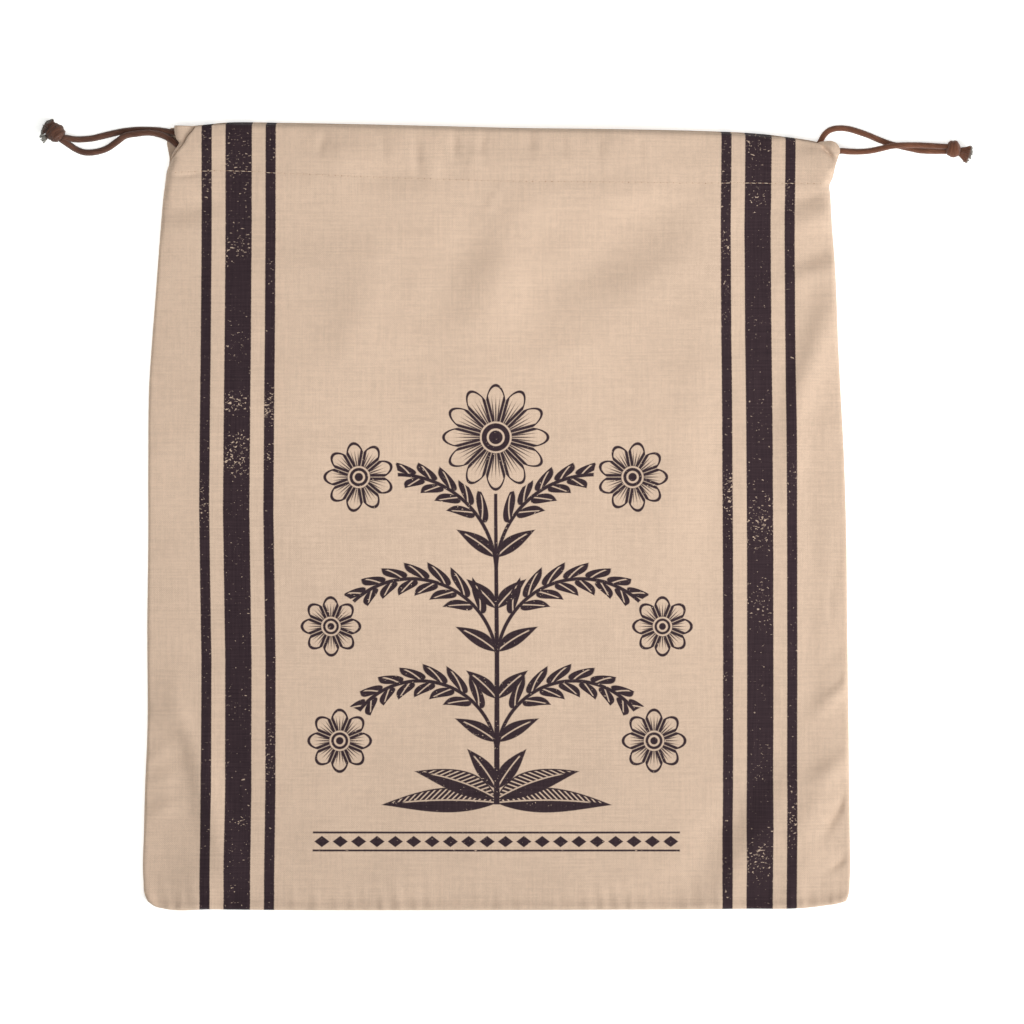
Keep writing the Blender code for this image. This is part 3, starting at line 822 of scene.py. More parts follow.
@dataclass(frozen=True)
class CottonCloth:
    """Undyed cotton in plain weave, printed with a dark water-based ink.

    The yarn is uneven, so thick and thin stretches show as faint streaks both ways, and the surface is
    matt with a soft sheen of loose fibres. The ink lies in the yarn and has rubbed off in small flecks.
    """

    name: str = "printed_plain_weave_cotton"
    light: str = "#d5bba4"
    dark: str = "#c4ac97"
    ink_dark: str = "#281a20"
    ink_light: str = "#403034"
    roughness: float = 0.93
    ink_roughness: float = 0.86
    sheen: float = 0.12
    yarn: float = 1.05  # yarn spacing, about twice the real one, which is too fine for the picture
    streak_length: float = 26.0
    streak_width: float = 0.9
    relief: float = 0.16
    weft_share: float = 0.55  # how much the weft's slubs count beside the warp's
    relief_shares: Row = (1.1, 0.35)  # of the slubs and the weave
    # Wide clouds, blots and the finest grain: scale, detail, roughness
    noises: tuple[Row, ...] = ((0.014, 3.0, 0.55), (0.3, 2.0, 0.6), (1.6, 2.0, 0.6))
    # How strongly the tone follows the slubs, the weave, the clouds, the blots and the grain
    tones: Row = (3.2, 0.3, 0.9, 1.1, 2.3)
    print_strength: float = 1.0
    with_stem: bool = True
    edge_stray: float = 0.9  # how far the edges of the stripes stray
    stem_stray: float = 0.35  # the same for the stem, as a share of it
    edge_soft: float = 0.2
    # The ink is a little darker at the left than at the right: half the width, and the ink's tone at both
    ink_half: float = 160.0
    ink_tones: Row = (0.18, 0.33)
    ink_slubs: float = 2.2
    ink_weave: float = 0.12
    fleck_scale: float = 0.8
    fleck_drift: float = 0.16
    fleck_from: float = 0.685
    fleck_run: float = 0.04
    fleck_strength: float = 0.85
    # Places where the ink has rubbed off more: across, up, half width, half height, strength
    worn: tuple[Row, ...] = (
        (-131.5, 58.0, 9.0, 7.0, 0.11),
        (-132.0, 40.0, 9.0, 5.0, 0.1),
        (-131.0, 28.0, 9.0, 8.0, 0.11),
        (-132.0, 138.0, 9.0, 6.0, 0.07),
        (-129.0, -156.0, 7.0, 3.5, 0.12),
        (-115.5, 55.0, 4.5, 11.0, 0.14),
        (-116.0, 30.0, 4.5, 6.0, 0.09),
        (-115.0, -118.0, 4.5, 26.0, 0.06),
        (-148.0, 168.0, 5.0, 10.0, 0.07),
        (-147.5, 190.0, 4.0, 11.0, 0.07),
        (-134.0, 183.0, 8.0, 18.0, 0.055),
        (-148.0, 8.0, 5.0, 12.0, 0.08),
        (118.5, 11.0, 5.0, 16.0, 0.11),
        (117.0, 118.0, 4.5, 8.0, 0.06),
        (133.0, -2.0, 9.0, 13.0, 0.11),
        (133.0, -45.0, 9.0, 10.0, 0.08),
        (132.0, -174.0, 9.0, 11.0, 0.1),
        (150.0, 22.0, 4.5, 12.0, 0.07),
        (150.0, 168.0, 4.5, 8.0, 0.08),
        (150.0, -155.0, 4.5, 18.0, 0.06),
        (131.0, 187.0, 7.0, 11.0, 0.055),
        (133.5, 163.5, 5.0, 6.0, 0.08),
        (116.5, 137.0, 4.5, 7.0, 0.085),
        (116.5, 170.0, 4.5, 25.0, 0.05),
    )

    def weave(self, shading: Shading, across: NodeSocket, up: NodeSocket) -> NodeSocket:
        """Height of the woven yarns, from 0 to 1."""
        n = shading.node
        pace = 2 * math.pi / self.yarn
        warp = n("SINE", n("MULTIPLY", across, pace))
        weft = n("SINE", n("MULTIPLY", up, pace))
        return n("MULTIPLY_ADD", n("MULTIPLY", warp, weft), 0.5, 0.5)

    def streaks(self, shading: Shading, places: NodeSocket, upright: bool) -> NodeSocket:
        """Thick and thin stretches of one set of yarns, from 0 to 1.

        Args:
            shading: the material.
            places: the cloth's coordinates.
            upright: whether the yarns run up the cloth.

        Returns:
            The streaks' value.
        """
        wide, fine = 1 / self.streak_length, 1 / self.streak_width
        pace = (fine, wide, 0.0) if upright else (wide, fine, 0.0)
        drawn = shading.node("VectorMath", places, pace, operation="MULTIPLY")
        return shading.node("TexNoise", Vector=drawn, Scale=1.0, Detail=3.0, Roughness=0.6)

    def flecks(self, shading: Shading, places: NodeSocket) -> NodeSocket:
        """Where the ink has come off: 1 on a fleck and 0 on whole ink.

        Args:
            shading: the material.
            places: the cloth's coordinates.

        Returns:
            The flecks' share.
        """
        n = shading.node
        drawn = n("VectorMath", places, (0.8, 1.25, 1.0), operation="MULTIPLY")
        grain = n(
            "TexNoise", Vector=drawn, Scale=self.fleck_scale, Detail=2.0, Roughness=0.55, Distortion=0.6
        )
        wide = n("TexNoise", Vector=places, Scale=0.05, Detail=2.0, Roughness=0.5)
        worn = n("MULTIPLY_ADD", n("SUBTRACT", wide, 0.5), self.fleck_drift, grain)
        for x, y, half_x, half_y, strength in self.worn:
            off = n("VectorMath", places, (x, y, 0.0), operation="SUBTRACT")
            off = n("VectorMath", off, (1 / half_x, 1 / half_y, 0.0), operation="MULTIPLY")
            away = n("VectorMath", off, operation="LENGTH", out=1)
            worn = n("ADD", worn, n("MapRange", away, 0.2, 1.4, strength, 0.0))
        return n("MapRange", worn, self.fleck_from, self.fleck_from + self.fleck_run, 0.0, 1.0)

    def build(self) -> Material:
        """Draws the material.

        Returns:
            The printed cloth.
        """
        shading = Shading(self.name)
        n = shading.node
        places, across, up = cloth_places(shading)
        weave = self.weave(shading, across, up)
        weft = self.streaks(shading, places, False)
        warp = self.streaks(shading, places, True)
        slubs = n("ADD", n("MULTIPLY", weft, self.weft_share), n("MULTIPLY", warp, 1 - self.weft_share))
        clouds, blots, fine = [
            n("TexNoise", Vector=places, Scale=scale, Detail=detail, Roughness=uneven)
            for scale, detail, uneven in self.noises
        ]
        tone = swings(shading, 0.5, (slubs, weave, clouds, blots, fine), self.tones)
        cotton = blend(shading, tone, linear(self.dark), linear(self.light))
        rough = n("MULTIPLY", n("SUBTRACT", fine, 0.5), self.edge_stray)
        ink = SackStripes().ink(shading, across, rough)
        if self.with_stem:
            stem = FloweringStem().ink(shading, across, up)
            ink = n("MAXIMUM", ink, n("MULTIPLY_ADD", rough, self.stem_stray, stem))
        inked = n("MapRange", ink, -self.edge_soft, self.edge_soft, 0.0, 1.0)
        flecks = self.flecks(shading, places)
        kept = n("MULTIPLY", inked, n("SUBTRACT", 1.0, n("MULTIPLY", flecks, self.fleck_strength)))
        share = n("MULTIPLY", kept, self.print_strength)
        # The ink darkens towards the left
        depth = n("MapRange", across, -self.ink_half, self.ink_half, *self.ink_tones)
        depth = n("MULTIPLY_ADD", n("SUBTRACT", slubs, 0.5), self.ink_slubs, depth)
        depth = n("MULTIPLY_ADD", weave, self.ink_weave, depth, use_clamp=True)
        dye = blend(shading, depth, linear(self.ink_dark), linear(self.ink_light))
        colour = blend(shading, share, cotton, dye)
        roughness = n("MapRange", share, 0.0, 1.0, self.roughness, self.ink_roughness)
        slub_share, weave_share = self.relief_shares
        height = n("MULTIPLY_ADD", slubs, slub_share, n("MULTIPLY", weave, weave_share))
        return shading.finish(colour, roughness, height, self.relief, self.sheen)


@dataclass(frozen=True)
class CordCotton:
    """Brown cotton cord of fine lengthwise strands with a matt, slightly hairy surface."""

    name: str = "twisted_cotton_cord"
    light: str = "#905e45"
    dark: str = "#543121"
    worn: str = "#a0785f"
    roughness: float = 0.88
    sheen: float = 0.2
    strands: int = 22
    lay: float = 46.0  # length in which a strand goes once round
    relief: float = 0.22
    # How strongly the tone follows the fibres, the strands and long patches, round its middle
    tones: Row = (2.4, 0.35, 0.6)
    middle_tone: float = 0.42
    # Where fibres stand up the cord is paler: from, to, and the share of the worn colour at both
    fuzz: Row = (0.66, 0.78, 0.0, 0.7)

    def build(self) -> Material:
        """Draws the material.

        Returns:
            The cord's cotton. Its map gives the share of a turn round the cord and metres along it.
        """
        shading = Shading(self.name)
        n = shading.node
        around = n("SeparateXYZ", n("UVMap", uv_map="cloth"))
        along = n("MULTIPLY", around.node.outputs[1], 1 / MM)
        turn = n("SUBTRACT", around, n("DIVIDE", along, self.lay))
        ridge = n("MULTIPLY_ADD", n("SINE", n("MULTIPLY", turn, 2 * math.pi * self.strands)), 0.5, 0.5)
        angle = n("MULTIPLY", turn, 2 * math.pi)
        ring = n("CombineXYZ", n("COSINE", angle), n("SINE", angle), n("MULTIPLY", along, 0.035))
        fibres = n("TexNoise", Vector=ring, Scale=5.0, Detail=4.0, Roughness=0.65)
        patches = n("TexNoise", Vector=n("CombineXYZ", along, 0.0, 0.0), Scale=0.09, Detail=2.0)
        tone = swings(shading, self.middle_tone, (fibres, ridge, patches), self.tones)
        colour = blend(shading, tone, linear(self.dark), linear(self.light))
        colour = blend(shading, n("MapRange", fibres, *self.fuzz), colour, linear(self.worn))
        height = n("MULTIPLY_ADD", ridge, 0.5, fibres)
        return shading.finish(colour, self.roughness, height, self.relief, self.sheen)


@dataclass(frozen=True)
class FrayedCotton:
    """Loose cotton fibres at a cord's cut end, brown where they leave the cord and greyed at their tips."""

    name: str = "frayed_cotton_fibre"
    root: str = "#6b4330"
    tip: str = "#7f7a72"
    greyed_from: float = 4.7
    greyed_to: float = 6.0
    patchy: float = 1.2
    relief: float = 0.02
    roughness: float = 0.9
    sheen: float = 0.2

    def build(self) -> Material:
        """Draws the material.

        Returns:
            The fibres' cotton. Its map gives metres along each fibre.
        """
        shading = Shading(self.name)
        n = shading.node
        flat = n("SeparateXYZ", n("UVMap", uv_map="cloth"))
        along = n("MULTIPLY", flat.node.outputs[1], 1 / MM)
        noise = n("TexNoise", Vector=n("TexCoord", out=3), Scale=900.0, Detail=2.0)
        share = n("MapRange", along, self.greyed_from, self.greyed_to, 0.0, 1.0)
        share = swings(shading, share, (noise,), (self.patchy,))
        colour = blend(shading, share, linear(self.root), linear(self.tip))
        return shading.finish(colour, self.roughness, noise, self.relief, self.sheen)


@dataclass(frozen=True)
class SewingThread:
    """Two-ply cotton sewing thread in the cloth's colour, a little lighter and smoother than the cloth."""

    name: str = "cotton_sewing_thread"
    light: str = "#dac4ac"
    dark: str = "#c8b099"
    roughness: float = 0.8
    sheen: float = 0.1
    ply: float = 0.7
    ply_slant: float = 1.6
    ply_tone: float = 0.6
    patchy: float = 1.6
    relief: float = 0.06

    def build(self) -> Material:
        """Draws the material.

        Returns:
            The thread's cotton.
        """
        shading = Shading(self.name)
        n = shading.node
        places = n("TexCoord", out=3)
        flat = n("VectorMath", places, (1 / MM, 1 / MM, 1 / MM), operation="MULTIPLY")
        across = n("SeparateXYZ", flat)
        twist = n("MULTIPLY_ADD", across.node.outputs[1], self.ply_slant, across)
        ply = n("MULTIPLY_ADD", n("SINE", n("MULTIPLY", twist, 2 * math.pi / self.ply)), 0.5, 0.5)
        noise = n("TexNoise", Vector=flat, Scale=0.4, Detail=2.0)
        tone = swings(shading, n("MULTIPLY", ply, self.ply_tone), (noise,), (self.patchy,))
        colour = blend(shading, tone, linear(self.dark), linear(self.light))
        return shading.finish(colour, self.roughness, ply, self.relief, self.sheen)


# Panels


@dataclass
class ClothPanel:
    """One panel of the bag with its hem turned down inside, laid from a flat grid."""

    side: Side
    name: str
    node: str
    material_slot: str
    corners: tuple[Row, ...]
    top_lower: float
    left_open: float
    right_open: float
    thickness: float = 0.8
    edge_cells: int = 22
    edge_spread: float = 1.6  # above 1 the cells are smaller towards the seam
    coarse_across: float = 1.6
    coarse_up: float = 2.8
    edge_run: float = 22.0
    place_rounds: int = 6
    fold_rows: int = 8
    fold_at_end: float = 0.25  # share of the top fold that is left at the casing's open ends
    fold_run: float = 10.0
    before_stitches: float = 10.0
    # Rows of the grid: distances before the stitches, and distances below the top edge in the casing
    # past its stitches, the first, limit and step of its even ones, and those of the hem
    stitch_rows: Row = (8.0, 6.2, 4.6, 3.2, 2.0, 1.2, 0.6, 0.0)
    past_stitches: Row = (24.4, 23.8, 23.0, 21.8, 20.4, 19.0)
    casing_rows: Row = (17.7, 3.5, -1.2)
    hem_rows: Row = (5.0, 8.0, 11.0, 14.0, 17.0, 20.0, 22.5)
    # Depth of the hem: distance across, depth
    hem_depth: tuple[Row, ...] = (
        (-168.0, 21.4), (-149.0, 22.6), (-112.0, 24.6), (-19.0, 26.9), (53.0, 26.8), (114.0, 25.9),
        (152.0, 23.2), (172.0, 20.0),
    )
    drift_at: float = 132.0
    # The stripes stray with the cloth: height, drift at the left, drift at the right
    drift: tuple[Row, ...] = (
        (-200.0, -1.3, 0.6), (-186.0, -1.3, 0.7), (-140.0, -0.5, 0.8), (-74.0, -0.3, 0.8),
        (-20.0, -1.1, 0.7), (3.0, -1.4, 0.6), (49.0, -1.0, 0.3), (95.0, -0.5, -0.3),
        (150.0, -0.1, -0.7), (187.0, 0.1, -0.4), (203.0, 0.2, -0.3),
    )

    def __post_init__(self) -> None:
        """Joins the tables of the side edges."""
        self.sides = Curve(LIE.sides + self.corners)

    def left(self, y: np.ndarray | float) -> np.ndarray:
        """Left edge at a height in plan."""
        return self.sides.read(1, y)

    def right(self, y: np.ndarray | float) -> np.ndarray:
        """Right edge at a height in plan."""
        return self.sides.read(2, y)

    def top(self, x: np.ndarray | float) -> np.ndarray:
        """This panel's top edge."""
        return LIE.top(x) - self.top_lower

    def hem_share(self, x: np.ndarray | float) -> np.ndarray:
        """The hem's depth at a place, as a share of its full depth."""
        return Curve(self.hem_depth).read(1, x) / LIE.hem

    def below(self, x: np.ndarray, y: np.ndarray) -> np.ndarray:
        """Distance from the top edge, counted so that the hem is equally deep everywhere."""
        return (self.top(x) - y) / self.hem_share(x)

    def place(self, across: np.ndarray, up: np.ndarray) -> tuple[np.ndarray, np.ndarray]:
        """The plan position of shares across and up the panel.

        Args:
            across: shares from the left edge.
            up: shares from the bottom seam.

        Returns:
            Places across and places up.
        """
        x = (across - 0.5) * LIE.width
        y = np.zeros_like(x)
        for _ in range(self.place_rounds):
            y = LIE.bottom(x) * (1 - up) + self.top(x) * up
            x = self.left(y) * (1 - across) + self.right(y) * across
        return x, y

    def near_seam(self) -> np.ndarray:
        """Distances from a seam for the grid's first lines."""
        return self.edge_run * (np.arange(self.edge_cells) / self.edge_cells) ** self.edge_spread

    def columns(self) -> np.ndarray:
        """Shares across for the grid's columns, closer together near both edges."""
        ends = self.near_seam()
        count = round((LIE.width - 2 * self.edge_run) / self.coarse_across)
        middle = np.linspace(self.edge_run, LIE.width - self.edge_run, count)
        return np.concatenate([ends, middle, LIE.width - ends[::-1]]) / LIE.width

    def rows(self) -> list[tuple[Part, float]]:
        """The grid's rows from the bottom seam to the hem's inner edge, with a share or a distance each."""
        height = LIE.middle_length - LIE.hem
        last = height - self.before_stitches
        middle = np.linspace(self.edge_run, last, round((last - self.edge_run) / self.coarse_up))
        body = np.concatenate([self.near_seam(), middle, height - np.array(self.stitch_rows)]) / height
        rows = [(Part.BODY, share) for share in body]
        rows += [(Part.CASING, below) for below in (*self.past_stitches, *np.arange(*self.casing_rows))]
        rows += [(Part.FOLD, i / self.fold_rows) for i in range(self.fold_rows + 1)]
        rows += [(Part.HEM, below) for below in (*self.hem_rows, LIE.hem)]
        return rows

    def level(self, x: np.ndarray, y: np.ndarray) -> np.ndarray:
        """Height of the panel's outer layer, given by each kind of panel."""
        raise NotImplementedError

    def row_points(self, part: Part, value: float, across: np.ndarray) -> tuple[np.ndarray, np.ndarray]:
        """The points of one row of the grid.

        Args:
            part: the stretch of cloth that the row is in.
            value: a share of the body or fold, or a distance below the top edge.
            across: shares across.

        Returns:
            The row's points, and its places up the flat cloth.
        """
        x, top = self.place(across, np.ones_like(across))
        height = top - LIE.bottom(x)
        deep = self.hem_share(x)
        turned = -self.side.value
        if part is Part.BODY:
            x, y = self.place(across, value * (1 - LIE.hem * deep / height))
            return np.stack([x, y, self.level(x, y)], 1), y
        if part is Part.FOLD:
            turn = math.pi * value
            below = LIE.cloth / 2 + LIE.fold * (1 - math.sin(turn))
            drop = LIE.fold * (1 - math.cos(turn)) * self.fold_share(across)
            x, y = self.place(across, 1 - below / height)
            base = self.level(x, self.top(x) - LIE.fold - LIE.cloth / 2)
            return np.stack([x, y, base + turned * drop], 1), y + 2 * LIE.fold * value
        x, y = self.place(across, 1 - value * deep / height)
        drop = LIE.layer_distance(np.full_like(x, value), LIE.stitched) if part is Part.HEM else 0.0
        flat = y if part is Part.CASING else 2 * (top + LIE.fold) - y
        return np.stack([x, y, self.level(x, y) + turned * drop], 1), flat

    def fold_share(self, across: np.ndarray) -> np.ndarray:
        """How much of the fold at the top edge is made: less towards the casing's open ends."""
        at = across * LIE.width
        inside = np.minimum(at - self.left_open, LIE.width - self.right_open - at)
        return self.fold_at_end + (1 - self.fold_at_end) * smooth(1 + inside / self.fold_run)

    def build(self, materials: Sequence[Material]) -> Object:
        """Makes the panel.

        Args:
            materials: the cloth's outer side, and its inner side.

        Returns:
            The finished piece.
        """
        across = self.columns()
        rows = self.rows()
        cells = (len(across) - 1, len(rows) - 1)
        laid = [self.row_points(part, value, across) for part, value in rows]
        points = np.array([made for made, _ in laid])
        flat = np.array([up for _, up in laid])
        shape = bmesh.new()
        bmesh.ops.create_grid(shape, x_segments=cells[0], y_segments=cells[1], size=0.5)
        spots = {
            vertex: (round((vertex.co.x + 0.5) * cells[0]), round((vertex.co.y + 0.5) * cells[1]))
            for vertex in shape.verts
        }
        open_from = int(np.searchsorted(across * LIE.width, self.left_open))
        open_to = int(np.searchsorted(across * LIE.width, LIE.width - self.right_open))
        half_turn = next(i for i, row in enumerate(rows) if row[0] is Part.FOLD) + self.fold_rows // 2
        sheet_map = shape.loops.layers.uv.new("cloth")
        flat_across = (points[:, :, 0] - self.stray(points[:, :, 0], flat)) * MM
        cut_away = []
        for face in shape.faces:
            corners = [spots[vertex] for vertex in face.verts]
            at_end = min(c[0] for c in corners) < open_from or max(c[0] for c in corners) > open_to
            if at_end and min(c[1] for c in corners) >= half_turn:
                cut_away.append(face)
            for loop in face.loops:
                column, row = spots[loop.vert]
                loop[sheet_map].uv = (flat_across[row, column], flat[row, column] * MM)
        for vertex, (column, row) in spots.items():
            vertex.co = Vector(points[row, column]) * MM
        bmesh.ops.delete(shape, geom=cut_away, context="FACES")
        if self.side is Side.BACK:
            bmesh.ops.reverse_faces(shape, faces=shape.faces)
        made = mesh_object(self.name, shape, materials)
        thicken(made, self.thickness)
        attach(made, "root")
        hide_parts(self.node)
        return made

    def stray(self, x: np.ndarray, y: np.ndarray) -> np.ndarray:
        """How far the print strays across at a place, from the table of drifts."""
        table = np.array(self.drift)
        left = np.interp(y, table[:, 0], table[:, 1])
        right = np.interp(y, table[:, 0], table[:, 2])
        share = np.clip(x / (2 * self.drift_at) + 0.5, 0.0, 1.0)
        return left * (1 - share) + right * share


@dataclass
class FrontPanel(ClothPanel):
    """The upper panel: seamed down at its sides and bottom and raised between them."""

    # Soft folds: middle across, middle up, degrees, half length, half width, height, bend
    folds: tuple[Row, ...] = (
        (62.0, 139.5, 38.0, 50.0, 13.0, -2.0, 0.0),
        (85.0, 124.5, 38.0, 46.0, 13.0, 1.9, 0.0),
        (4.0, 131.0, 67.0, 56.0, 13.0, 2.0, 0.0),
        (-25.0, 117.0, 62.0, 36.0, 11.0, -0.8, 0.0),
        (-66.0, 112.0, 72.0, 34.0, 12.0, 1.6, 0.0),
        (98.0, 44.0, 80.0, 52.0, 13.0, 1.5, 0.0),
        (114.0, 28.0, 85.0, 46.0, 9.0, -1.2, 0.0),
        (162.5, 164.2, 12.0, 16.0, 3.9, -2.3, 0.0),
        (160.0, 150.5, 12.0, 17.0, 5.8, 3.1, 0.0),
        (163.0, 132.5, 15.0, 15.0, 5.5, -1.5, 0.0),
        (161.0, 124.0, 20.0, 18.0, 6.0, 2.0, 0.0),
        (172.0, 118.0, 92.0, 40.0, 13.0, 2.4, 0.0),
        (160.5, 77.0, 72.0, 31.0, 7.5, 3.9, 0.0),
        (151.0, 30.0, 84.0, 27.0, 6.0, 2.0, 0.0),
        (160.5, -30.0, 90.0, 85.0, 6.0, -1.1, 0.0),
        (-160.0, 157.0, -2.0, 17.0, 5.0, -1.2, 0.012),
        (-160.0, 146.5, 0.0, 17.0, 6.0, 1.4, 0.012),
        (-147.0, -142.0, 98.0, 38.0, 8.0, 3.0, -0.003),
        (-155.5, -116.0, 103.0, 22.0, 5.0, 1.3, 0.0),
        (-162.5, -99.5, 130.0, 9.0, 3.6, 1.2, 0.01),
        (-168.0, -102.5, -24.0, 10.0, 4.2, 2.1, -0.02),
        (-171.0, -120.0, 10.0, 8.0, 3.0, 1.5, 0.0),
        (-171.0, -134.0, 8.0, 8.0, 3.2, 1.3, 0.0),
        (-171.0, -150.0, 14.0, 9.0, 3.2, 1.6, 0.0),
        (-151.0, -192.0, 55.0, 24.0, 13.0, 2.4, 0.0),
        (-172.0, -63.0, 4.0, 10.0, 3.4, 0.6, 0.0),
        (172.0, -91.0, 44.0, 14.0, 5.0, 3.0, 0.0),
        (170.0, -130.0, 30.0, 13.0, 5.0, 2.2, 0.0),
        (159.0, -152.0, 58.0, 30.0, 7.5, 2.9, 0.0),
        (134.0, -165.0, 56.0, 42.0, 8.5, 2.5, 0.0),
        (118.0, -154.0, 57.0, 40.0, 9.0, -1.9, 0.0),
        (157.0, -178.0, 66.0, 24.0, 8.0, 1.8, 0.0),
        (4.0, -138.0, -29.0, 36.0, 8.0, 1.1, 0.0),
        (73.0, -140.0, -18.0, 30.0, 9.0, 0.8, 0.0),
        (-92.0, -150.0, 20.0, 26.0, 9.0, -0.8, 0.0),
    )
    # Narrow creases, in the same columns
    creases: tuple[Row, ...] = (
        (-159.0, 173.2, 2.0, 8.5, 1.6, -0.9, 0.016),
        (169.0, 128.0, 28.0, 7.0, 2.2, -0.5, 0.0),
        (163.0, 129.0, 12.0, 6.0, 2.0, -0.4, 0.0),
        (-2.0, 160.0, 62.0, 8.0, 2.6, 0.5, 0.0),
        (-173.0, -117.0, 8.0, 6.0, 1.6, -0.4, 0.0),
        (-173.0, -131.0, 12.0, 6.0, 1.6, -0.35, 0.0),
        (-173.0, -147.0, 12.0, 6.0, 1.8, -0.4, 0.0),
        (173.0, -151.9, 57.0, 12.0, 2.2, -2.0, 0.0),
        (173.3, -85.8, 42.0, 8.5, 2.0, -1.3, 0.0),
        (174.5, -177.2, 34.0, 7.0, 2.0, -1.4, 0.0),
        (170.0, -160.0, 52.0, 9.0, 2.2, -0.4, 0.0),
        (171.0, -72.0, 38.0, 9.0, 2.8, -0.5, 0.0),
        (173.0, -30.0, 80.0, 12.0, 2.4, -0.4, 0.0),
        (170.0, -47.0, 95.0, 10.0, 2.2, -0.35, 0.0),
        (168.0, 186.6, -43.0, 6.0, 1.1, -2.6, -0.03),
        (170.5, 188.2, -40.0, 4.5, 2.4, 0.8, -0.03),
        (169.0, 177.5, -62.0, 4.0, 1.1, -0.4, 0.0),
        (-40.6, 184.5, 96.0, 9.0, 2.0, -1.1, 0.0),
        (-21.2, 188.5, 92.0, 7.0, 1.8, -1.1, 0.0),
        (-7.4, 189.5, 84.0, 6.0, 2.0, -0.8, 0.0),
        (-57.5, 187.0, 98.0, 7.0, 2.2, -0.7, 0.0),
        (-89.0, 189.0, 80.0, 6.0, 2.2, -0.7, 0.0),
        (17.0, 189.5, 95.0, 6.0, 2.2, -0.8, 0.0),
        (34.0, 188.0, 100.0, 6.0, 2.0, -0.7, 0.0),
        (52.0, 186.5, 85.0, 7.0, 2.2, -0.65, 0.0),
        (73.0, 187.0, 94.0, 6.0, 2.4, -0.6, 0.0),
        (-33.0, 178.0, 100.0, 8.0, 4.0, 0.8, 0.0),
        (-12.0, 180.0, 88.0, 8.0, 3.6, 0.7, 0.0),
        (-79.0, 184.0, 104.0, 7.0, 4.0, 0.5, 0.0),
        (159.7, 195.4, 28.0, 9.2, 8.0, -5.2, 0.0),
    )
    flap: float = 2.3
    flap_at: float = 171.5
    flap_half: float = 3.4
    slot_depth: float = 15.5  # the casing's end is open down to here, and below it the seam is closed
    slot_roll: float = 1.1
    slot_run: float = 5.0
    # Gathers: mean pitch, seed, slant, height
    casing_gathers: tuple[Row, ...] = ((19.0, 23, 0.12, 0.3), (11.5, 31, 0.12, 0.135))
    bottom_puckers: tuple[Row, ...] = ((8.6, 11, 0.15, 1.15), (5.3, 13, -0.1, 0.46))
    side_puckers: tuple[Row, ...] = ((13.0, 17, 0.0, 0.42),)
    hem_puckers: tuple[Row, ...] = ((11.0, 29, 0.0, 0.16),)
    # The casing is loose round this depth and, most of all, in the middle of the mouth
    loose_below: float = 5.0
    loose_half: float = 9.0
    loose_middle: float = -5.0
    loose_middle_half: float = 70.0
    loose_least: float = 0.35
    bottom_reach: float = 8.0
    side_reach: float = 6.0
    hem_reach: float = 7.0
    # The turned edges inside the bottom seam lift the cloth over them
    seam_ridge: float = 2.0
    seam_ridge_reach: float = 3.8
    wave: float = 0.25
    wave_length: float = 34.0
    stitch_dent: float = 0.03
    stitch_dent_half: float = 1.1
    stitch_hollow: float = 0.6
    hollow_length: float = 46.0
    rim: float = 0.3
    rim_reach: float = 0.4

    def top(self, x: np.ndarray | float) -> np.ndarray:
        """The front's top edge, which puffs up in a small flap at the right corner."""
        return super().top(x) + self.flap * bell(x - self.flap_at, self.flap_half)

    def level(self, x: np.ndarray, y: np.ndarray) -> np.ndarray:
        """Height of the outer layer, with its folds, creases and puckers.

        Args:
            x: places across.
            y: places up.

        Returns:
            The height of the middle of the cloth.
        """
        edge = np.maximum(np.minimum(x - self.left(y), self.right(y) - x), 0.0)
        low = np.maximum(y - LIE.bottom(x), 0.0)
        below = self.below(x, y)
        crown = LIE.crown * LIE.rise(edge, LIE.side_roll) * LIE.rise(low, LIE.bottom_roll)
        near_top = 1 - smooth((below - LIE.hem) / LIE.blend_run)
        closed = np.exp(-edge / self.slot_roll) * smooth((below - self.slot_depth) / self.slot_run)
        layers = LIE.layer_distance(below, LIE.outer_stitched)
        layers = np.where(below > LIE.hem, LIE.outer_stitched * near_top, layers)
        casing = LIE.seam_level + (LIE.hem_level(x) - LIE.seam_level + layers) * (1 - closed)
        body = LIE.seam_level + crown
        seams = (1 - bell(edge, LIE.fold_fade)) * (1 - bell(low, LIE.fold_fade))
        reach = smooth((below - LIE.hem + LIE.fold_inside_hem) / LIE.fold_top_run)
        relief = crease_relief(self.folds, x, y) * seams * reach
        level = np.maximum(body * (1 - near_top) + casing * near_top + relief, LIE.seam_level)
        return level + self.fine_relief(x, y, edge, low, below)

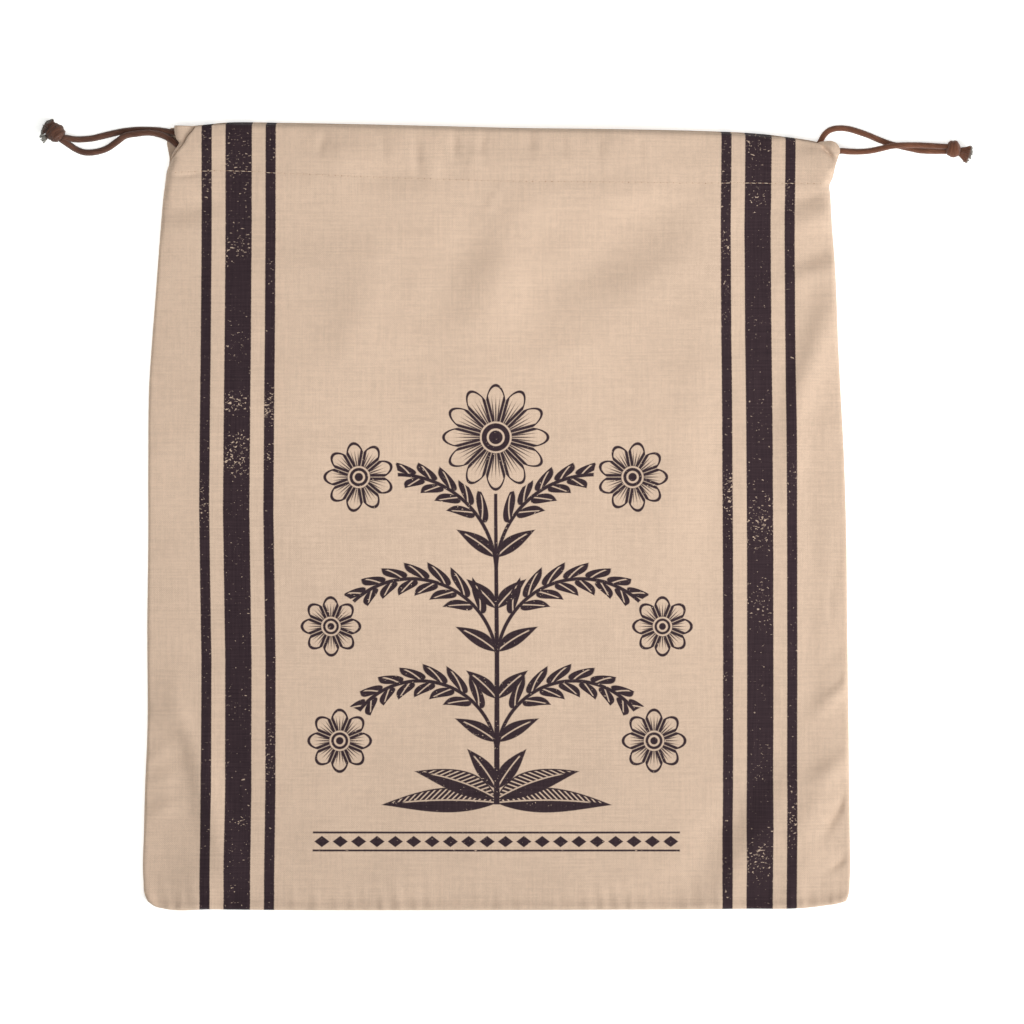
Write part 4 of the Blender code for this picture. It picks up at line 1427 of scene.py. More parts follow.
    def fine_relief(
        self, x: np.ndarray, y: np.ndarray, edge: np.ndarray, low: np.ndarray, below: np.ndarray
    ) -> np.ndarray:
        """Creases, puckers at the seams, gathers of the casing and the dent of its stitches.

        Args:
            x: places across.
            y: places up.
            edge: distance from the nearer side seam.
            low: distance from the bottom seam.
            below: distance from the top edge.

        Returns:
            The added height.
        """
        sharp = crease_relief(self.creases, x, y) * smooth(edge / 4.0) * smooth(low / 4.0)
        waves = self.wave * ripples(x, y, self.wave_length, 5) * smooth(edge / 14.0) * smooth(low / 14.0)
        bottom = pulled(self.bottom_puckers, x, low) * np.exp(-low / self.bottom_reach) * smooth(low / 0.4)
        bottom = bottom + self.seam_ridge * bell(low, self.seam_ridge_reach) * smooth(low / 0.2)
        sides = pulled(self.side_puckers, y, edge) * np.exp(-edge / self.side_reach) * smooth(edge / 0.8)
        in_casing = bell(below - self.loose_below, self.loose_half) * smooth(edge / 20.0)
        in_middle = bell(x - self.loose_middle, self.loose_middle_half)
        loose = self.loose_least + (1 - self.loose_least) * in_middle
        casing = pulled(self.casing_gathers, x, below) * in_casing * loose
        from_stitches = below - LIE.hem
        beside_stitches = bell(from_stitches, self.hem_reach)
        hem_line = pulled(self.hem_puckers, x, below) * beside_stitches
        dent = self.stitch_dent * bell(from_stitches, self.stitch_dent_half) * smooth(edge / 3.0)
        uneven = 0.75 + 0.5 * ripples(x, y * 0.6, self.hollow_length, 41)
        dent = dent + self.stitch_hollow * uneven * beside_stitches * smooth(edge / 40.0)
        rim = self.rim * (np.exp(-edge / self.rim_reach) + np.exp(-low / self.rim_reach))
        return sharp + waves + bottom + sides + casing + hem_line - dent - rim


@dataclass
class CornerCloth:
    """A small stretch of cloth at a corner of the mouth, which shows under or over the front's edge."""

    front: FrontPanel
    name: str
    # Its outer edge and its edge on the front, from the same end: across, up
    outer: tuple[Row, ...]
    inner: tuple[Row, ...]
    outer_lift: float
    inner_lift: float
    outer_roll: float
    inner_roll: float
    outer_run: float = 1.1
    inner_run: float = 1.3
    groove: float = 0.0  # how deep it dips beside the front's left edge
    groove_half: float = 0.9
    lowest: float = 1.2  # it rests on the back panel's cloth where it dips
    cells: tuple[int, int] = (26, 36)
    thickness: float = 0.7

    def build(self, materials: Sequence[Material]) -> Object:
        """Makes the piece.

        Args:
            materials: the cloth's outer side, and its inner side.

        Returns:
            The finished piece.
        """
        wide, tall = self.cells
        shape = bmesh.new()
        bmesh.ops.create_grid(shape, x_segments=wide, y_segments=tall, size=0.5)
        sheet_map = shape.loops.layers.uv.new("cloth")
        rows = [Curve(tuple((i, *row) for i, row in enumerate(line))) for line in (self.outer, self.inner)]
        for vertex in shape.verts:
            share, up = vertex.co.x + 0.5, (vertex.co.y + 0.5) * (len(self.outer) - 1)
            near, far = [np.array([curve.read(1, up), curve.read(2, up)]) for curve in rows]
            x, y = near * (1 - share) + far * share
            width = float(np.linalg.norm(far - near))
            level = float(self.front.level(np.array([x]), np.array([y]))[0])
            lift = self.outer_lift * (1 - share) + self.inner_lift * share
            curl = self.outer_roll * math.exp(-share * width / self.outer_run)
            curl += self.inner_roll * math.exp(-(1 - share) * width / self.inner_run)
            curl += self.groove * float(bell(self.front.left(y) - x, self.groove_half))
            vertex.co = Vector((x, y, max(level + lift - curl, self.lowest))) * MM
            for loop in vertex.link_loops:
                loop[sheet_map].uv = vertex.co.xy
        made = mesh_object(self.name, shape, materials)
        thicken(made, self.thickness)
        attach(made, "root")
        return made


def corner_cloths(front: FrontPanel) -> tuple[CornerCloth, CornerCloth]:
    """The end of the hem that shows at the left corner, and the small flap over the front at the right.

    Args:
        front: the front panel.

    Returns:
        Both pieces, not yet built.
    """
    facing = CornerCloth(
        front,
        "left_corner_facing",
        outer=(
            (-166.9, 180.5), (-165.5, 183.4), (-163.0, 187.3), (-161.5, 190.1),
            (-162.9, 192.4), (-163.8, 195.7), (-163.9, 198.9),
        ),
        inner=(
            (-161.0, 178.0), (-158.8, 181.6), (-156.6, 185.4), (-154.6, 188.8),
            (-152.6, 192.0), (-150.6, 195.6), (-149.4, 198.4),
        ),
        outer_lift=-0.5,
        inner_lift=-1.6,
        outer_roll=2.2,
        inner_roll=0.0,
        groove=1.7,
    )
    flap = CornerCloth(
        front,
        "right_corner_flap",
        outer=(
            (164.6, 190.3), (167.6, 190.5), (170.6, 190.6), (172.9, 189.6),
            (174.3, 187.8), (174.6, 185.3), (173.4, 182.6),
        ),
        inner=(
            (164.0, 190.1), (164.9, 188.4), (166.3, 186.6), (167.8, 185.3),
            (169.6, 184.2), (171.5, 183.2), (173.2, 182.3),
        ),
        outer_lift=0.15,
        inner_lift=1.9,
        outer_roll=0.3,
        inner_roll=2.5,
        inner_run=0.5,
    )
    return facing, flap


@dataclass
class BackPanel(ClothPanel):
    """The lower panel, flat on the surface."""

    rim: float = 0.35
    rim_reach: float = 1.6
    sewn_run: float = 8.0
    stitch_dent: float = 0.3
    stitch_dent_half: float = 1.2
    above_floor: float = 0.02

    def level(self, x: np.ndarray, y: np.ndarray) -> np.ndarray:
        """Height of the cloth, which rises to the front's at its seams.

        Args:
            x: places across.
            y: places up.

        Returns:
            The height of the middle of the cloth.
        """
        edge = np.maximum(np.minimum(x - self.left(y), self.right(y) - x), 0.0)
        low = np.maximum(y - LIE.bottom(x), 0.0)
        sewn = smooth((self.top(x) - LIE.hem - y) / self.sewn_run)
        rise = np.exp(-edge / self.rim_reach) * sewn + np.exp(-low / self.rim_reach)
        dent = self.stitch_dent * bell(self.below(x, y) - LIE.hem, self.stitch_dent_half)
        return self.thickness / 2 + self.rim * np.minimum(rise, 1.0) + dent + self.above_floor


# Stitches


@dataclass
class HemStitches:
    """The row of stitches that holds a panel's hem."""

    panel: ClothPanel
    name: str
    pitch: float = 3.42
    length: float = 2.6
    radius: float = 0.2
    raised: float = -0.05
    # Half sizes of the dark spot at each needle hole: painted shade, a flat ball in a darker thread where
    # the hole's shadow falls
    hole: Row = (0.4, 0.32, 0.2)
    from_edge: float = 2.0
    # How the stitches differ: greatest turn and shift, and the ranges of their length and of the holes
    stray_turn: float = 0.09
    stray_shift: float = 0.1
    lengths: Row = (0.92, 1.05)
    holes: Row = (0.5, 1.0)

    def build(self, materials: Sequence[Material]) -> Object:
        """Makes all the stitches and the painted shade spots at their needle holes as one piece.

        Args:
            materials: the thread, and a darker copy of it that paints the shade at each needle hole.

        Returns:
            The finished piece.
        """
        chance = random.Random(self.name)
        count = int(LIE.width / self.pitch)
        across = (np.arange(count) + 0.5) / count
        up = self.panel.place(across, np.ones_like(across))
        height = up[1] - LIE.bottom(up[0])
        deep = LIE.hem * self.panel.hem_share(up[0])
        x, y = self.panel.place(across, 1 - deep / height)
        z = self.panel.level(x, y)
        shape = bmesh.new()
        outer = self.panel.side.value * (self.panel.thickness / 2 + self.raised)
        for i in range(count - 1):
            here = Vector((x[i], y[i], z[i] + outer))
            ahead = Vector((x[i + 1], y[i + 1], z[i + 1] + outer)) - here
            if min(x[i] - self.panel.left(y[i]), self.panel.right(y[i]) - x[i]) < self.from_edge:
                continue
            turn = math.atan2(ahead.y, ahead.x) + chance.uniform(-self.stray_turn, self.stray_turn)
            slope = math.atan2(ahead.z, ahead.xy.length)
            stitch = ball(shape, (8, 6))
            reach = self.length / 2 * chance.uniform(*self.lengths)
            size = Matrix.Diagonal((reach, self.radius, self.radius, 1.0))
            lie = Matrix.Rotation(turn, 4, "Z") @ Matrix.Rotation(-slope, 4, "Y")
            shift = Vector((0.0, chance.uniform(-self.stray_shift, self.stray_shift), 0.0))
            place = TO_METRES @ Matrix.Translation(here + ahead / 2 + shift)
            bmesh.ops.transform(shape, matrix=place @ lie @ size, verts=stitch)
            # Each needle hole is a dark flat ball: painted shade, not a hole in the cloth
            painted_hole_shade = ball(shape, (8, 4))
            for face in {face for vertex in painted_hole_shade for face in vertex.link_faces}:
                face.material_index = 1
            place = TO_METRES @ Matrix.Translation(here + shift)
            size = Matrix.Diagonal((*(half * chance.uniform(*self.holes) for half in self.hole), 1.0))
            bmesh.ops.transform(shape, matrix=place @ lie @ size, verts=painted_hole_shade)
        made = mesh_object(self.name, shape, materials)
        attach(made, "root")
        return made


# Drawcords


def curve_between(points: Sequence[Row], step: float) -> list[Vector]:
    """Points a step apart along a smooth curve through the given ones.

    Args:
        points: places on the curve.
        step: distance between the points that come back.

    Returns:
        The points, with both ends.
    """
    knots = [Vector(point) for point in points]
    found = []
    for k in range(len(knots) - 1):
        before = knots[max(k - 1, 0)]
        start, end = knots[k], knots[k + 1]
        after = knots[min(k + 2, len(knots) - 1)]
        span = (end - start).length
        start_pull = (end - before) * (span / max((start - before).length + span, 1e-6))
        end_pull = (after - start) * (span / max((after - end).length + span, 1e-6))
        count = max(round(span / step), 1)
        for i in range(count):
            s = i / count
            found.append(
                start * (2 * s**3 - 3 * s**2 + 1)
                + start_pull * (s**3 - 2 * s**2 + s)
                + end * (3 * s**2 - 2 * s**3)
                + end_pull * (s**3 - s**2)
            )
    found.append(knots[-1])
    return found


@dataclass(frozen=True)
class Strand:
    """A round cord along a path, with fine strands laid round it."""

    radius: float = 1.5
    around: int = 32
    strands: int = 11
    lay: float = 34.0
    groove: float = 0.05
    even_ridge: float = 0.6  # the height of a strand's ridge at which the cord has its plain radius
    uneven: float = 0.035
    uneven_lengths: Row = (7.3, 3.1)

    def add(
        self,
        shape: bmesh.types.BMesh,
        path: Sequence[Vector],
        closed: bool = False,
        seed: int = 1,
        worn: float = 0.0,
    ) -> None:
        """Adds the cord to a bmesh as a tube: a grid rolled round the path, with its ends filled.

        Args:
            shape: the bmesh to add to.
            path: points along the cord in millimetres, close together.
            closed: whether the path is a ring.
            seed: seed of the uneven thickness.
            worn: the length along it at the path's start, for the map.
        """
        points = [*path, path[0]] if closed else list(path)
        cells = len(points) - 1
        frames = self.frames(points, closed)
        lengths = [worn]
        for before, after in zip(points, points[1:]):
            lengths.append(lengths[-1] + (after - before).length)
        chance = random.Random(seed)
        phases = [chance.uniform(0, 2 * math.pi) for _ in range(2)]
        made = bmesh.ops.create_grid(shape, x_segments=self.around, y_segments=cells, size=0.5)["verts"]
        sheet_map = shape.loops.layers.uv.verify()
        spots = {v: (round((v.co.x + 0.5) * self.around), round((v.co.y + 0.5) * cells)) for v in made}
        for vertex, (column, row) in spots.items():
            for loop in vertex.link_loops:
                loop[sheet_map].uv = (column / self.around, lengths[row] * MM)
            turn = 2 * math.pi * (column % self.around) / self.around
            side, up = frames[row]
            along = lengths[row]
            ridge = abs(math.sin(self.strands / 2 * (turn - 2 * math.pi * along / self.lay)))
            if closed:
                ridge = abs(math.sin(self.strands / 2 * turn))
            thick = 1 + self.groove * (ridge - self.even_ridge)
            if not closed:
                swells = [math.sin(along / run + phase) for run, phase in zip(self.uneven_lengths, phases)]
                thick += self.uneven * math.prod(swells)
            reach = side * math.cos(turn) + up * math.sin(turn)
            vertex.co = (points[row] + reach * self.radius * thick) * MM
        bmesh.ops.remove_doubles(shape, verts=made, dist=1e-7)
        if not closed:
            kept = [vertex for vertex in made if vertex.is_valid]
            rims = {edge for vertex in kept for edge in vertex.link_edges if edge.is_boundary}
            bmesh.ops.holes_fill(shape, edges=list(rims), sides=0)

    def frames(self, points: Sequence[Vector], closed: bool) -> list[tuple[Vector, Vector]]:
        """Two directions across the path at each point, carried along without twist.

        Args:
            points: points along the path.
            closed: whether the path is a ring.

        Returns:
            A side direction and an upward one for each point.
        """
        tangents = []
        last = len(points) - 1
        for i in range(last + 1):
            before = points[i - 1] if i > 0 else points[last - 1] if closed else points[0]
            after = points[i + 1] if i < last else points[1] if closed else points[last]
            tangents.append((after - before).normalized())
        found = []
        side = Vector((0, 0, 1)).cross(tangents[0])
        if side.length < 0.1:
            side = Vector((0, 1, 0)).cross(tangents[0])
        for tangent in tangents:
            side = (side - tangent * side.dot(tangent)).normalized()
            found.append((side, tangent.cross(side)))
        if closed:
            found[-1] = found[0]
        return found


@dataclass
class Drawcord:
    """One drawcord from its knot through both hems and back to its knot."""

    name: str
    node: str
    route: Callable[[], list[Vector]]
    thickness: float = 3.0
    step: float = 1.3
    into_knot: float = 2.6

    def build(self, cotton: Material, knot: Object) -> Object:
        """Makes the cord.

        Args:
            cotton: the cord's material.
            knot: the knot piece in which both of its ends are tied; not used.

        Returns:
            The finished piece.
        """
        route = self.route()
        first = route[0] + (route[0] - route[1]).normalized() * self.into_knot
        last = route[-1] + (route[-1] - route[-2]).normalized() * self.into_knot
        path = curve_between([first, *route, last], self.step)
        shape = bmesh.new()
        shape.loops.layers.uv.new("cloth")
        Strand(radius=self.thickness / 2).add(shape, path, seed=3)
        made = mesh_object(self.name, shape, [cotton])
        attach(made, "root")
        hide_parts(self.node)
        return made


@dataclass(frozen=True)
class CordRoutes:
    """The two cords' routes. Places are across, up and height.

    The strands outside the casing were fitted to the photo once more, so their points lie up to 1.8 mm
    from those of the model's source. The left cord turns back about 4 mm sooner at the right corner.
    """

    floor: float = 1.6
    near_line: float = 6.3
    far_line: float = 16.0
    casing_step: float = 22.0
    free_step: float = 5.6
    turn_points: int = 7
    left_join: float = -132.0
    right_join: float = 136.0
    left_turn: float = -146.3
    right_turn: float = 146.0
    sunk: float = 0.2  # inside the front hem the cords lie this much lower than its middle

    @property
    def left_upper(self) -> tuple[Row, ...]:
        """The left cord's upper strand, from its knot to the front casing."""
        return (
            (-219.4, 192.9, 4.6), (-214.4, 192.3, 2.4), (-207.2, 192.8, self.floor),
            (-199.0, 194.7, self.floor), (-191.4, 196.4, self.floor), (-181.7, 197.3, self.floor),
            (-173.5, 197.0, 1.8), (-166.6, 196.0, 2.7), (-160.8, 195.2, 3.7), (-156.0, 194.4, 5.2),
            (-151.0, 193.9, 7.5), (-145.5, 194.1, 8.7),
        )

    @property
    def left_lower(self) -> tuple[Row, ...]:
        """The left cord's lower strand, from its knot to the back casing."""
        return (
            (-220.6, 191.2, 4.2), (-218.0, 189.4, 3.0), (-215.0, 187.4, 2.1),
            (-210.8, 185.8, self.floor), (-205.2, 185.9, self.floor), (-199.2, 187.7, self.floor),
            (-194.4, 190.8, 2.5), (-189.5, 194.0, 4.0), (-183.5, 195.1, 4.5), (-177.0, 195.6, 4.5),
            (-170.5, 194.3, 4.2), (-166.0, 192.0, 3.3), (-163.4, 189.8, LIE.on_back),
            (-160.5, 188.0, LIE.on_back), (-154.5, 185.5, LIE.on_back), (-147.5, 184.7, LIE.on_back),
        )

    @property
    def right_upper(self) -> tuple[Row, ...]:
        """The right cord's upper strand, from its knot to the back casing."""
        return (
            (228.6, 186.3, 2.5), (223.5, 186.4, 1.8), (216.5, 186.7, self.floor),
            (211.8, 187.7, self.floor), (205.8, 189.0, self.floor), (200.5, 190.3, self.floor),
            (195.4, 192.2, self.floor), (190.3, 194.4, self.floor), (184.2, 196.5, self.floor),
            (179.9, 197.7, self.floor), (174.5, 198.1, self.floor), (169.9, 196.9, 1.9),
            (166.9, 194.0, 2.5), (164.8, 190.2, LIE.on_back), (161.2, 187.6, LIE.on_back),
            (156.0, 187.0, LIE.on_back), (150.5, 187.2, LIE.on_back),
        )

    @property
    def right_lower(self) -> tuple[Row, ...]:
        """The right cord's lower strand, from its knot to the front casing."""
        return (
            (228.6, 188.45, 4.7), (223.5, 188.8, 3.8), (214.4, 189.25, 4.0), (208.4, 189.1, 4.6),
            (202.1, 188.8, 4.8), (196.5, 187.6, 3.6), (191.0, 186.5, 2.2), (186.0, 186.1, self.floor),
            (180.5, 186.1, 2.4), (175.0, 186.3, 3.7), (170.0, 184.7, 4.7), (165.4, 181.5, 5.8),
            (160.8, 178.8, 6.9), (155.5, 177.8, 7.8), (150.5, 178.0, 8.3),
        )

    def casing_run(self, side: Side, line: float, from_x: float, to_x: float) -> list[Vector]:
        """A cord's points inside one hem.

        Args:
            side: the panel whose hem it is.
            line: distance from the back's top edge.
            from_x: where the run starts.
            to_x: where it ends.

        Returns:
            The points.
        """
        steps = max(round(abs(to_x - from_x) / self.casing_step), 1)
        run = []
        for i in range(steps + 1):
            x = from_x + (to_x - from_x) * i / steps
            z = LIE.on_back if side is Side.BACK else float(LIE.hem_level(x)) + LIE.fold - self.sunk
            run.append(Vector((x, float(LIE.top(x)) - line, z)))
        return run

    def turn_back(self, start: Vector, end: Vector, outward: int) -> list[Vector]:
        """A half turn from the front hem to the back one.

        Args:
            start: where it leaves the front hem.
            end: where it enters the back hem.
            outward: 1 at the right end and -1 at the left.

        Returns:
            The points between those two.
        """
        middle = (start + end) / 2
        arm = start - middle
        out = Vector((outward * arm.length, 0, 0))
        angles = [math.pi * i / self.turn_points for i in range(1, self.turn_points)]
        return [middle + arm * math.cos(angle) + out * math.sin(angle) for angle in angles]

    def whole(
        self, strands: tuple[tuple[Row, ...], tuple[Row, ...]], lines: Row, join: float, turn_at: float
    ) -> list[Vector]:
        """A whole cord: one strand, the front hem, a half turn, the back hem and the other strand.

        Args:
            strands: the strand into the front hem and the one into the back hem, both from the knot.
            lines: the cord's distances from the back's top edge in the front hem and in the back one.
            join: where both strands meet the hems.
            turn_at: where the cord turns back.

        Returns:
            Its points.
        """
        ahead = self.casing_run(Side.FRONT, lines[0], join, turn_at)
        back = self.casing_run(Side.BACK, lines[1], turn_at, join)
        turn = self.turn_back(ahead[-1], back[0], 1 if turn_at > join else -1)
        outside = curve_between((*strands[0], ahead[0]), self.free_step)
        home = curve_between((back[-1], *strands[1][::-1]), self.free_step)
        return outside[:-1] + ahead + turn + back + home[1:]

    def left(self) -> list[Vector]:
        """The left cord, which turns back at the right corner."""
        strands = (self.left_upper, self.left_lower)
        return self.whole(strands, (self.near_line, self.far_line), self.left_join, self.right_turn)

    def right(self) -> list[Vector]:
        """The right cord, which turns back at the left corner."""
        strands = (self.right_lower, self.right_upper)
        return self.whole(strands, (self.far_line, self.near_line), self.right_join, self.left_turn)


@dataclass(frozen=True)
class Fray:
    """One frayed end: loose fibres that fan out from where the cord was cut."""

    root: Row
    heading: float
    reach: float
    half: Row  # half width and half height of the cut end
    fan: Row  # how far the fibres lean out sideways and upward, for each millimetre ahead
    fibres: int = 260
    worn: float = 0.0  # length of the fibres that is gone, so that they are grey sooner


@dataclass
class CordKnot:
    """An overhand knot in both ends of a cord, pulled tight, with its frayed ends."""

    name: str
    node: str
    centre: Row
    heading: float
    # Hearts of the knot and of its frayed lobe: place along, across and up, and their half sizes
    cores: tuple[Row, ...]
    # Turns of the cord: shift along the knot, degrees of tilt and lean, half the cord's thickness
    wraps: tuple[Row, ...]
    frays: tuple[Fray, ...]
    bulge: float = 0.35
    steps: int = 64
    fibre: float = 0.19
    # The loose fibres: range of their reach, how much the outer ones lack, how far their ends stray,
    # how far they bend and droop for each millimetre ahead, and the distance of their points
    fibre_reach: Row = (0.8, 1.05)
    fibre_lack: float = 0.12
    fibre_stray: float = 0.3
    fibre_bend: float = 0.08
    fibre_droop: float = 0.1
    fibre_step: float = 0.9
    # A heart's map: turns of the cord for a half size along it, and millimetres for once round it
    heart_map: Row = (0.5, 24.0)

    def build(self, materials: Sequence[Material]) -> Object:
        """Makes the knot.

        Args:
            materials: the cord's material, and that of its frayed ends.

        Returns:
            The finished piece.
        """
        shape = bmesh.new()
        shape.loops.layers.uv.new("cloth")
        for number, fray in enumerate(self.frays):
            self.add_fray(shape, fray, number)
        for face in shape.faces:
            face.material_index = 1
        turned = Matrix.Translation(self.centre) @ Matrix.Rotation(math.radians(self.heading), 4, "Z")
        for core in self.cores:
            heart = ball(shape, (40, 24))
            self.wrap_map(shape, heart)
            size = Matrix.Translation(core[:3]) @ Matrix.Diagonal((*core[3:], 1.0))
            bmesh.ops.transform(shape, matrix=TO_METRES @ turned @ size, verts=heart)
        for number, row in enumerate(self.wraps):
            ring = [turned @ point for point in self.ring(row)]
            Strand(radius=row[3], around=24, strands=9, groove=0.09).add(shape, ring, True, number)
        made = mesh_object(self.name, shape, materials)
        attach(made, "root")
        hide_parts(self.node)
        return made

    def ring(self, row: Row) -> list[Vector]:
        """The middle of one turn of the cord, where a slanted plane cuts the knot's heart.

        Args:
            row: the turn's row in the table.

        Returns:
            Points round the knot, in its own directions.
        """
        shift, tilt, lean, half = row
        long, wide, high = [size - half + self.bulge for size in self.cores[0][3:]]
        found = []
        for i in range(self.steps):
            angle = 2 * math.pi * i / self.steps
            across, up = math.cos(angle), math.sin(angle)
            slant = across * math.tan(math.radians(tilt)) + up * math.tan(math.radians(lean))
            square = (across / wide) ** 2 + (up / high) ** 2 + (slant / long) ** 2
            half_line = shift * slant / long**2
            reach = (math.sqrt(half_line**2 - square * ((shift / long) ** 2 - 1)) - half_line) / square
            found.append(Vector((shift + reach * slant, reach * across, reach * up)))
        return found

    def wrap_map(self, shape: bmesh.types.BMesh, verts: Sequence[bmesh.types.BMVert]) -> None:
        """Gives a heart of the knot its own map, with strands round the knot's axis.

        Args:
            shape: the knot's bmesh.
            verts: the heart's corners.
        """
        sheet_map = shape.loops.layers.uv.verify()
        chosen = set(verts)
        for face in shape.faces:
            if not chosen.issuperset(face.verts):
                continue
            for loop in face.loops:
                place = loop.vert.co
                turn = math.atan2(place.z, place.y) / (2 * math.pi)
                loop[sheet_map].uv = (place.x * self.heart_map[0], turn * self.heart_map[1] * MM)

    def add_fray(self, shape: bmesh.types.BMesh, fray: Fray, seed: int) -> None:
        """Adds the loose fibres of one frayed end.

        Args:
            shape: the knot's bmesh.
            fray: the end's sizes.
            seed: seed of the fibres' places.
        """
        chance = random.Random(seed + 40)
        strand = Strand(radius=self.fibre, around=5, strands=1, groove=0.0, uneven=0.0)
        turn = math.radians(fray.heading)
        ahead = Vector((math.cos(turn), math.sin(turn), -self.fibre_droop))
        side = Vector((-math.sin(turn), math.cos(turn), 0.0))
        for _ in range(fray.fibres):
            around = chance.uniform(0, 2 * math.pi)
            out = math.sqrt(chance.random())
            across, up = math.cos(around) * out, math.sin(around) * out
            start = Vector(fray.root) + side * across * fray.half[0] + Vector((0, 0, up * fray.half[1]))
            lean = side * across * fray.fan[0] + Vector((0, 0, up * fray.fan[1]))
            reach = fray.reach * chance.uniform(*self.fibre_reach) * (1 - self.fibre_lack * out**2)
            end = start + (ahead + lean).normalized() * reach
            end += Vector([chance.uniform(-self.fibre_stray, self.fibre_stray) for _ in range(3)])
            end.z = max(end.z, self.fibre * 1.5)
            bend = start.lerp(end, 0.5) + ahead * self.fibre_bend * reach
            path = curve_between([start, bend, end], self.fibre_step)
            strand.add(shape, path, seed=seed, worn=fray.worn)


# The studio


@dataclass(frozen=True)
class Studio:
    """A plain pale floor, soft light and the camera straight above the bag."""

    look_at: tuple[float, float] = (7.9, 2.0)
    field: float = 523.3
    lens: float = 150.0
    sensor: float = 36.0
    seen_level: float = 1.5
    floor_side: float = 6.0
    floor_colours: tuple[str, str] = ("#f6f7f2", "#fbfcf7")
    farthest: float = 50.0
    world_strength: float = 0.28
    floor_glow: float = 0.5

    # Lamps: across, up, height, width and depth in metres, watts
    lamps: tuple[Row, ...] = (
        (2.15, -1.5, 1.57, 0.97, 0.97, 73.0),
        (0.0, 0.085, 0.45, 0.8, 0.16, 1.5),
    )

    def camera(self) -> None:
        """Sets up the camera."""
        data = bpy.data.cameras.new("camera")
        data.lens = self.lens
        data.sensor_width = self.sensor
        data.clip_end = self.farthest
        made = bpy.data.objects.new("camera", data)
        bpy.context.scene.collection.objects.link(made)
        distance = self.field * self.lens / self.sensor
        made.location = Vector((*self.look_at, self.seen_level + distance)) * MM
        bpy.context.scene.camera = made

    def lights(self) -> None:
        """Sets up the soft lamps and the even light from all sides."""
        for number, (x, y, z, wide, deep, watts) in enumerate(self.lamps):
            data = bpy.data.lights.new(f"softbox_{number}", "AREA")
            data.shape = "RECTANGLE"
            data.size = wide
            data.size_y = deep
            data.energy = watts
            made = bpy.data.objects.new(data.name, data)
            made.location = (x, y, z)
            made.rotation_mode = "QUATERNION"
            made.rotation_quaternion = (-Vector((x, y, z))).to_track_quat("-Z", "Y")
            made.visible_camera = False
            bpy.context.scene.collection.objects.link(made)
        world = bpy.data.worlds.new("studio")
        world.use_nodes = True
        sky = world.node_tree.nodes["Background"]
        sky.inputs["Color"].default_value = (1.0, 1.0, 1.0, 1.0)
        sky.inputs["Strength"].default_value = self.world_strength
        bpy.context.scene.world = world
        bpy.context.scene.view_settings.view_transform = "Standard"

    def floor(self) -> None:
        """Lays the plain floor, which is no part of the bag."""
        shape = bmesh.new()
        bmesh.ops.create_grid(shape, x_segments=1, y_segments=1, size=self.floor_side / 2)
        shading = Shading("matt_white_paper")
        n = shading.node
        grain = n("TexNoise", Scale=90.0, Detail=2.0)
        colour = blend(shading, grain, *(linear(code) for code in self.floor_colours))
        paper = shading.finish(colour, 0.9, grain, 0.02, 0.0, self.floor_glow)
        made = mesh_object("floor", shape, [paper])
        made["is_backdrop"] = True


def corner_tables() -> tuple[tuple[Row, ...], tuple[Row, ...]]:
    """Side edges above the body, where the casing ends and the cords come out.

    Returns:
        The front's rows and the back's rows: height, left edge, right edge.
    """
    front = (
        (180.6, -166.2, 173.0), (183.4, -163.8, 173.9), (186.2, -161.5, 174.4), (189.1, -159.1, 173.0),
        (193.0, -157.0, 171.6), (196.7, -153.9, 171.0), (198.6, -152.9, 171.0),
    )
    back = (
        (182.9, -167.2, 171.4), (187.0, -167.9, 170.2), (191.1, -168.5, 168.0), (194.7, -168.0, 166.5),
        (198.8, -166.3, 166.0),
    )
    return front, back


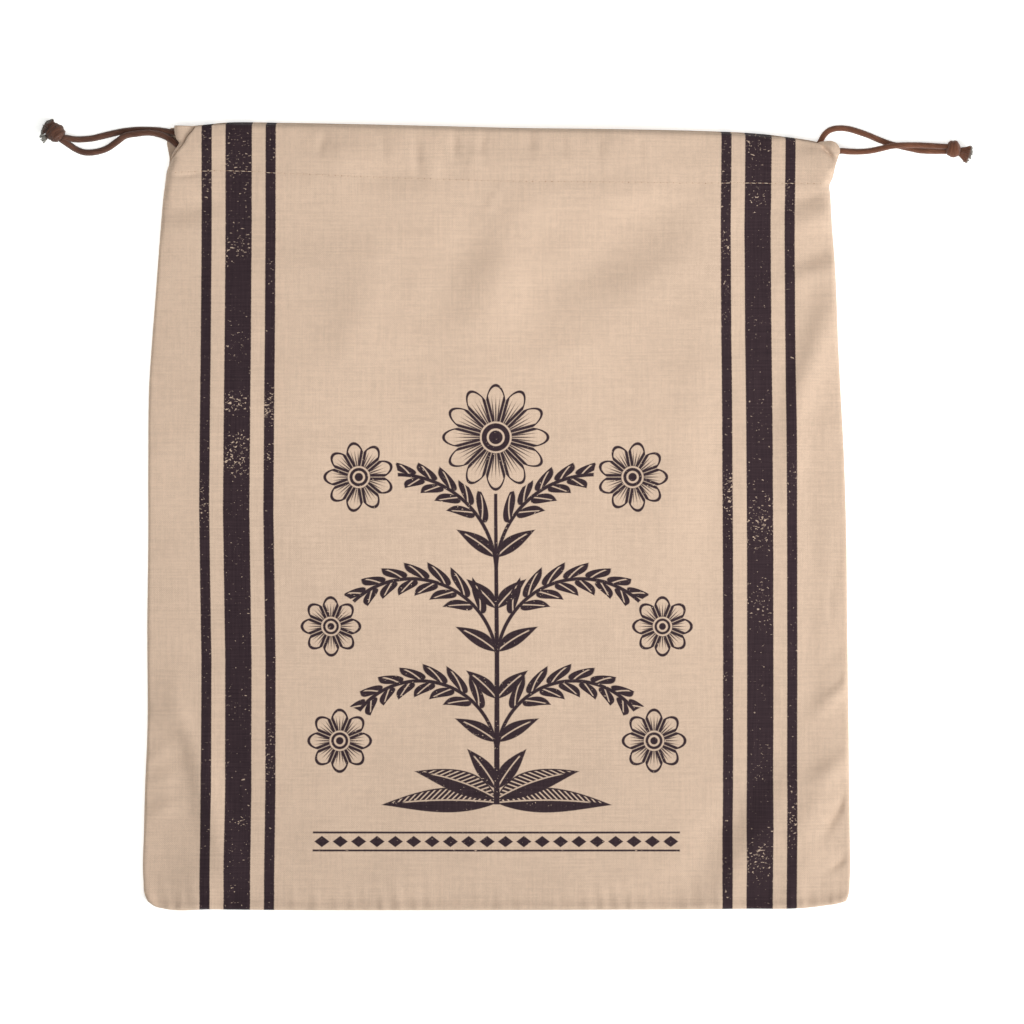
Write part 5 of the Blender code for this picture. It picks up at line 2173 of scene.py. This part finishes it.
def main() -> None:
    """Builds the studio, the cords, their knots, the panels and the stitches."""
    logging.basicConfig(level=logging.INFO, format="%(name)s: %(message)s")
    studio = Studio()
    studio.camera()
    studio.lights()
    studio.floor()
    # The left cord and its knot take a darker copy of the cord's cotton: painted shade, as the left end of
    # the bag lies in less light
    left_cotton_painted_shade = CordCotton("cord_cotton_painted_shade", "#764f3e", "#3f271c", "#7e6253").build()
    right_cotton = CordCotton().build()
    left_knot = CordKnot(
        name="left_knot",
        node="knot_left",
        centre=(-225.0, 195.6, 5.3),
        heading=157.0,
        cores=((0.0, 0.0, 0.0, 4.8, 4.6, 4.3), (3.9, -1.9, 0.0, 3.0, 3.2, 2.7)),
        wraps=(
            (-2.3, 30.0, 6.0, 1.5),
            (0.1, 26.0, 9.0, 1.6),
            (2.4, 20.0, 2.0, 1.5),
            (0.8, -38.0, 16.0, 1.15),
        ),
        frays=(
            Fray((-227.4, 197.4, 5.4), 143.0, 4.4, (1.9, 1.6), (1.7, 1.3), 260),
            Fray((-228.6, 194.0, 4.8), 203.0, 4.7, (0.8, 0.6), (0.5, 0.5), 60, 2.0),
        ),
    ).build([left_cotton_painted_shade, FrayedCotton("greyed_cotton_fibre", "#422a21", "#8c8a83", 3.2, 4.6).build()])
    right_knot = CordKnot(
        name="right_knot",
        node="knot_right",
        centre=(233.2, 187.2, 4.4),
        heading=-4.0,
        cores=((0.0, 0.0, 0.0, 3.7, 4.3, 3.8),),
        wraps=((-1.5, 8.0, 5.0, 1.75), (1.5, -14.0, -8.0, 1.6)),
        frays=(Fray((236.4, 186.0, 4.0), -18.0, 6.5, (2.0, 1.3), (0.55, 0.3), 260),),
    ).build([right_cotton, FrayedCotton().build()])
    routes = CordRoutes()
    Drawcord("left_drawcord", "drawcord_left", routes.left, 3.25).build(left_cotton_painted_shade, left_knot)
    Drawcord("right_drawcord", "drawcord_right", routes.right).build(right_cotton, right_knot)
    outside = CottonCloth().build()
    inside = CottonCloth(name="cotton_wrong_side", print_strength=0.22, with_stem=False).build()
    plain = CottonCloth(name="striped_plain_weave_cotton", with_stem=False).build()
    front_corners, back_corners = corner_tables()
    front = FrontPanel(
        Side.FRONT,
        "front_cloth",
        "front_panel",
        "front_cotton",
        front_corners,
        top_lower=1.3,
        left_open=25.7,
        right_open=34.3,
    )
    front.build([outside, inside])
    facing, flap = corner_cloths(front)
    facing.build([inside, inside])
    flap.build([outside, inside])
    back = BackPanel(
        Side.BACK,
        "back_cloth",
        "back_panel",
        "back_cotton",
        back_corners,
        top_lower=0.0,
        left_open=30.0,
        right_open=30.0,
    )
    back.build([plain, inside])
    # A darker copy of the thread paints the shade at each needle hole
    hole_shade_thread = SewingThread("needle_hole_painted_shade_thread", "#b38d74", "#9f7b64")
    threads = [SewingThread().build(), hole_shade_thread.build()]
    HemStitches(front, "front_hem_stitches").build(threads)
    HemStitches(back, "back_hem_stitches", raised=0.0).build(threads)
    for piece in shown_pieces():
        LOG.info("%s: %d faces", piece.name, len(piece.data.polygons))


if __name__ == "__main__":
    main()
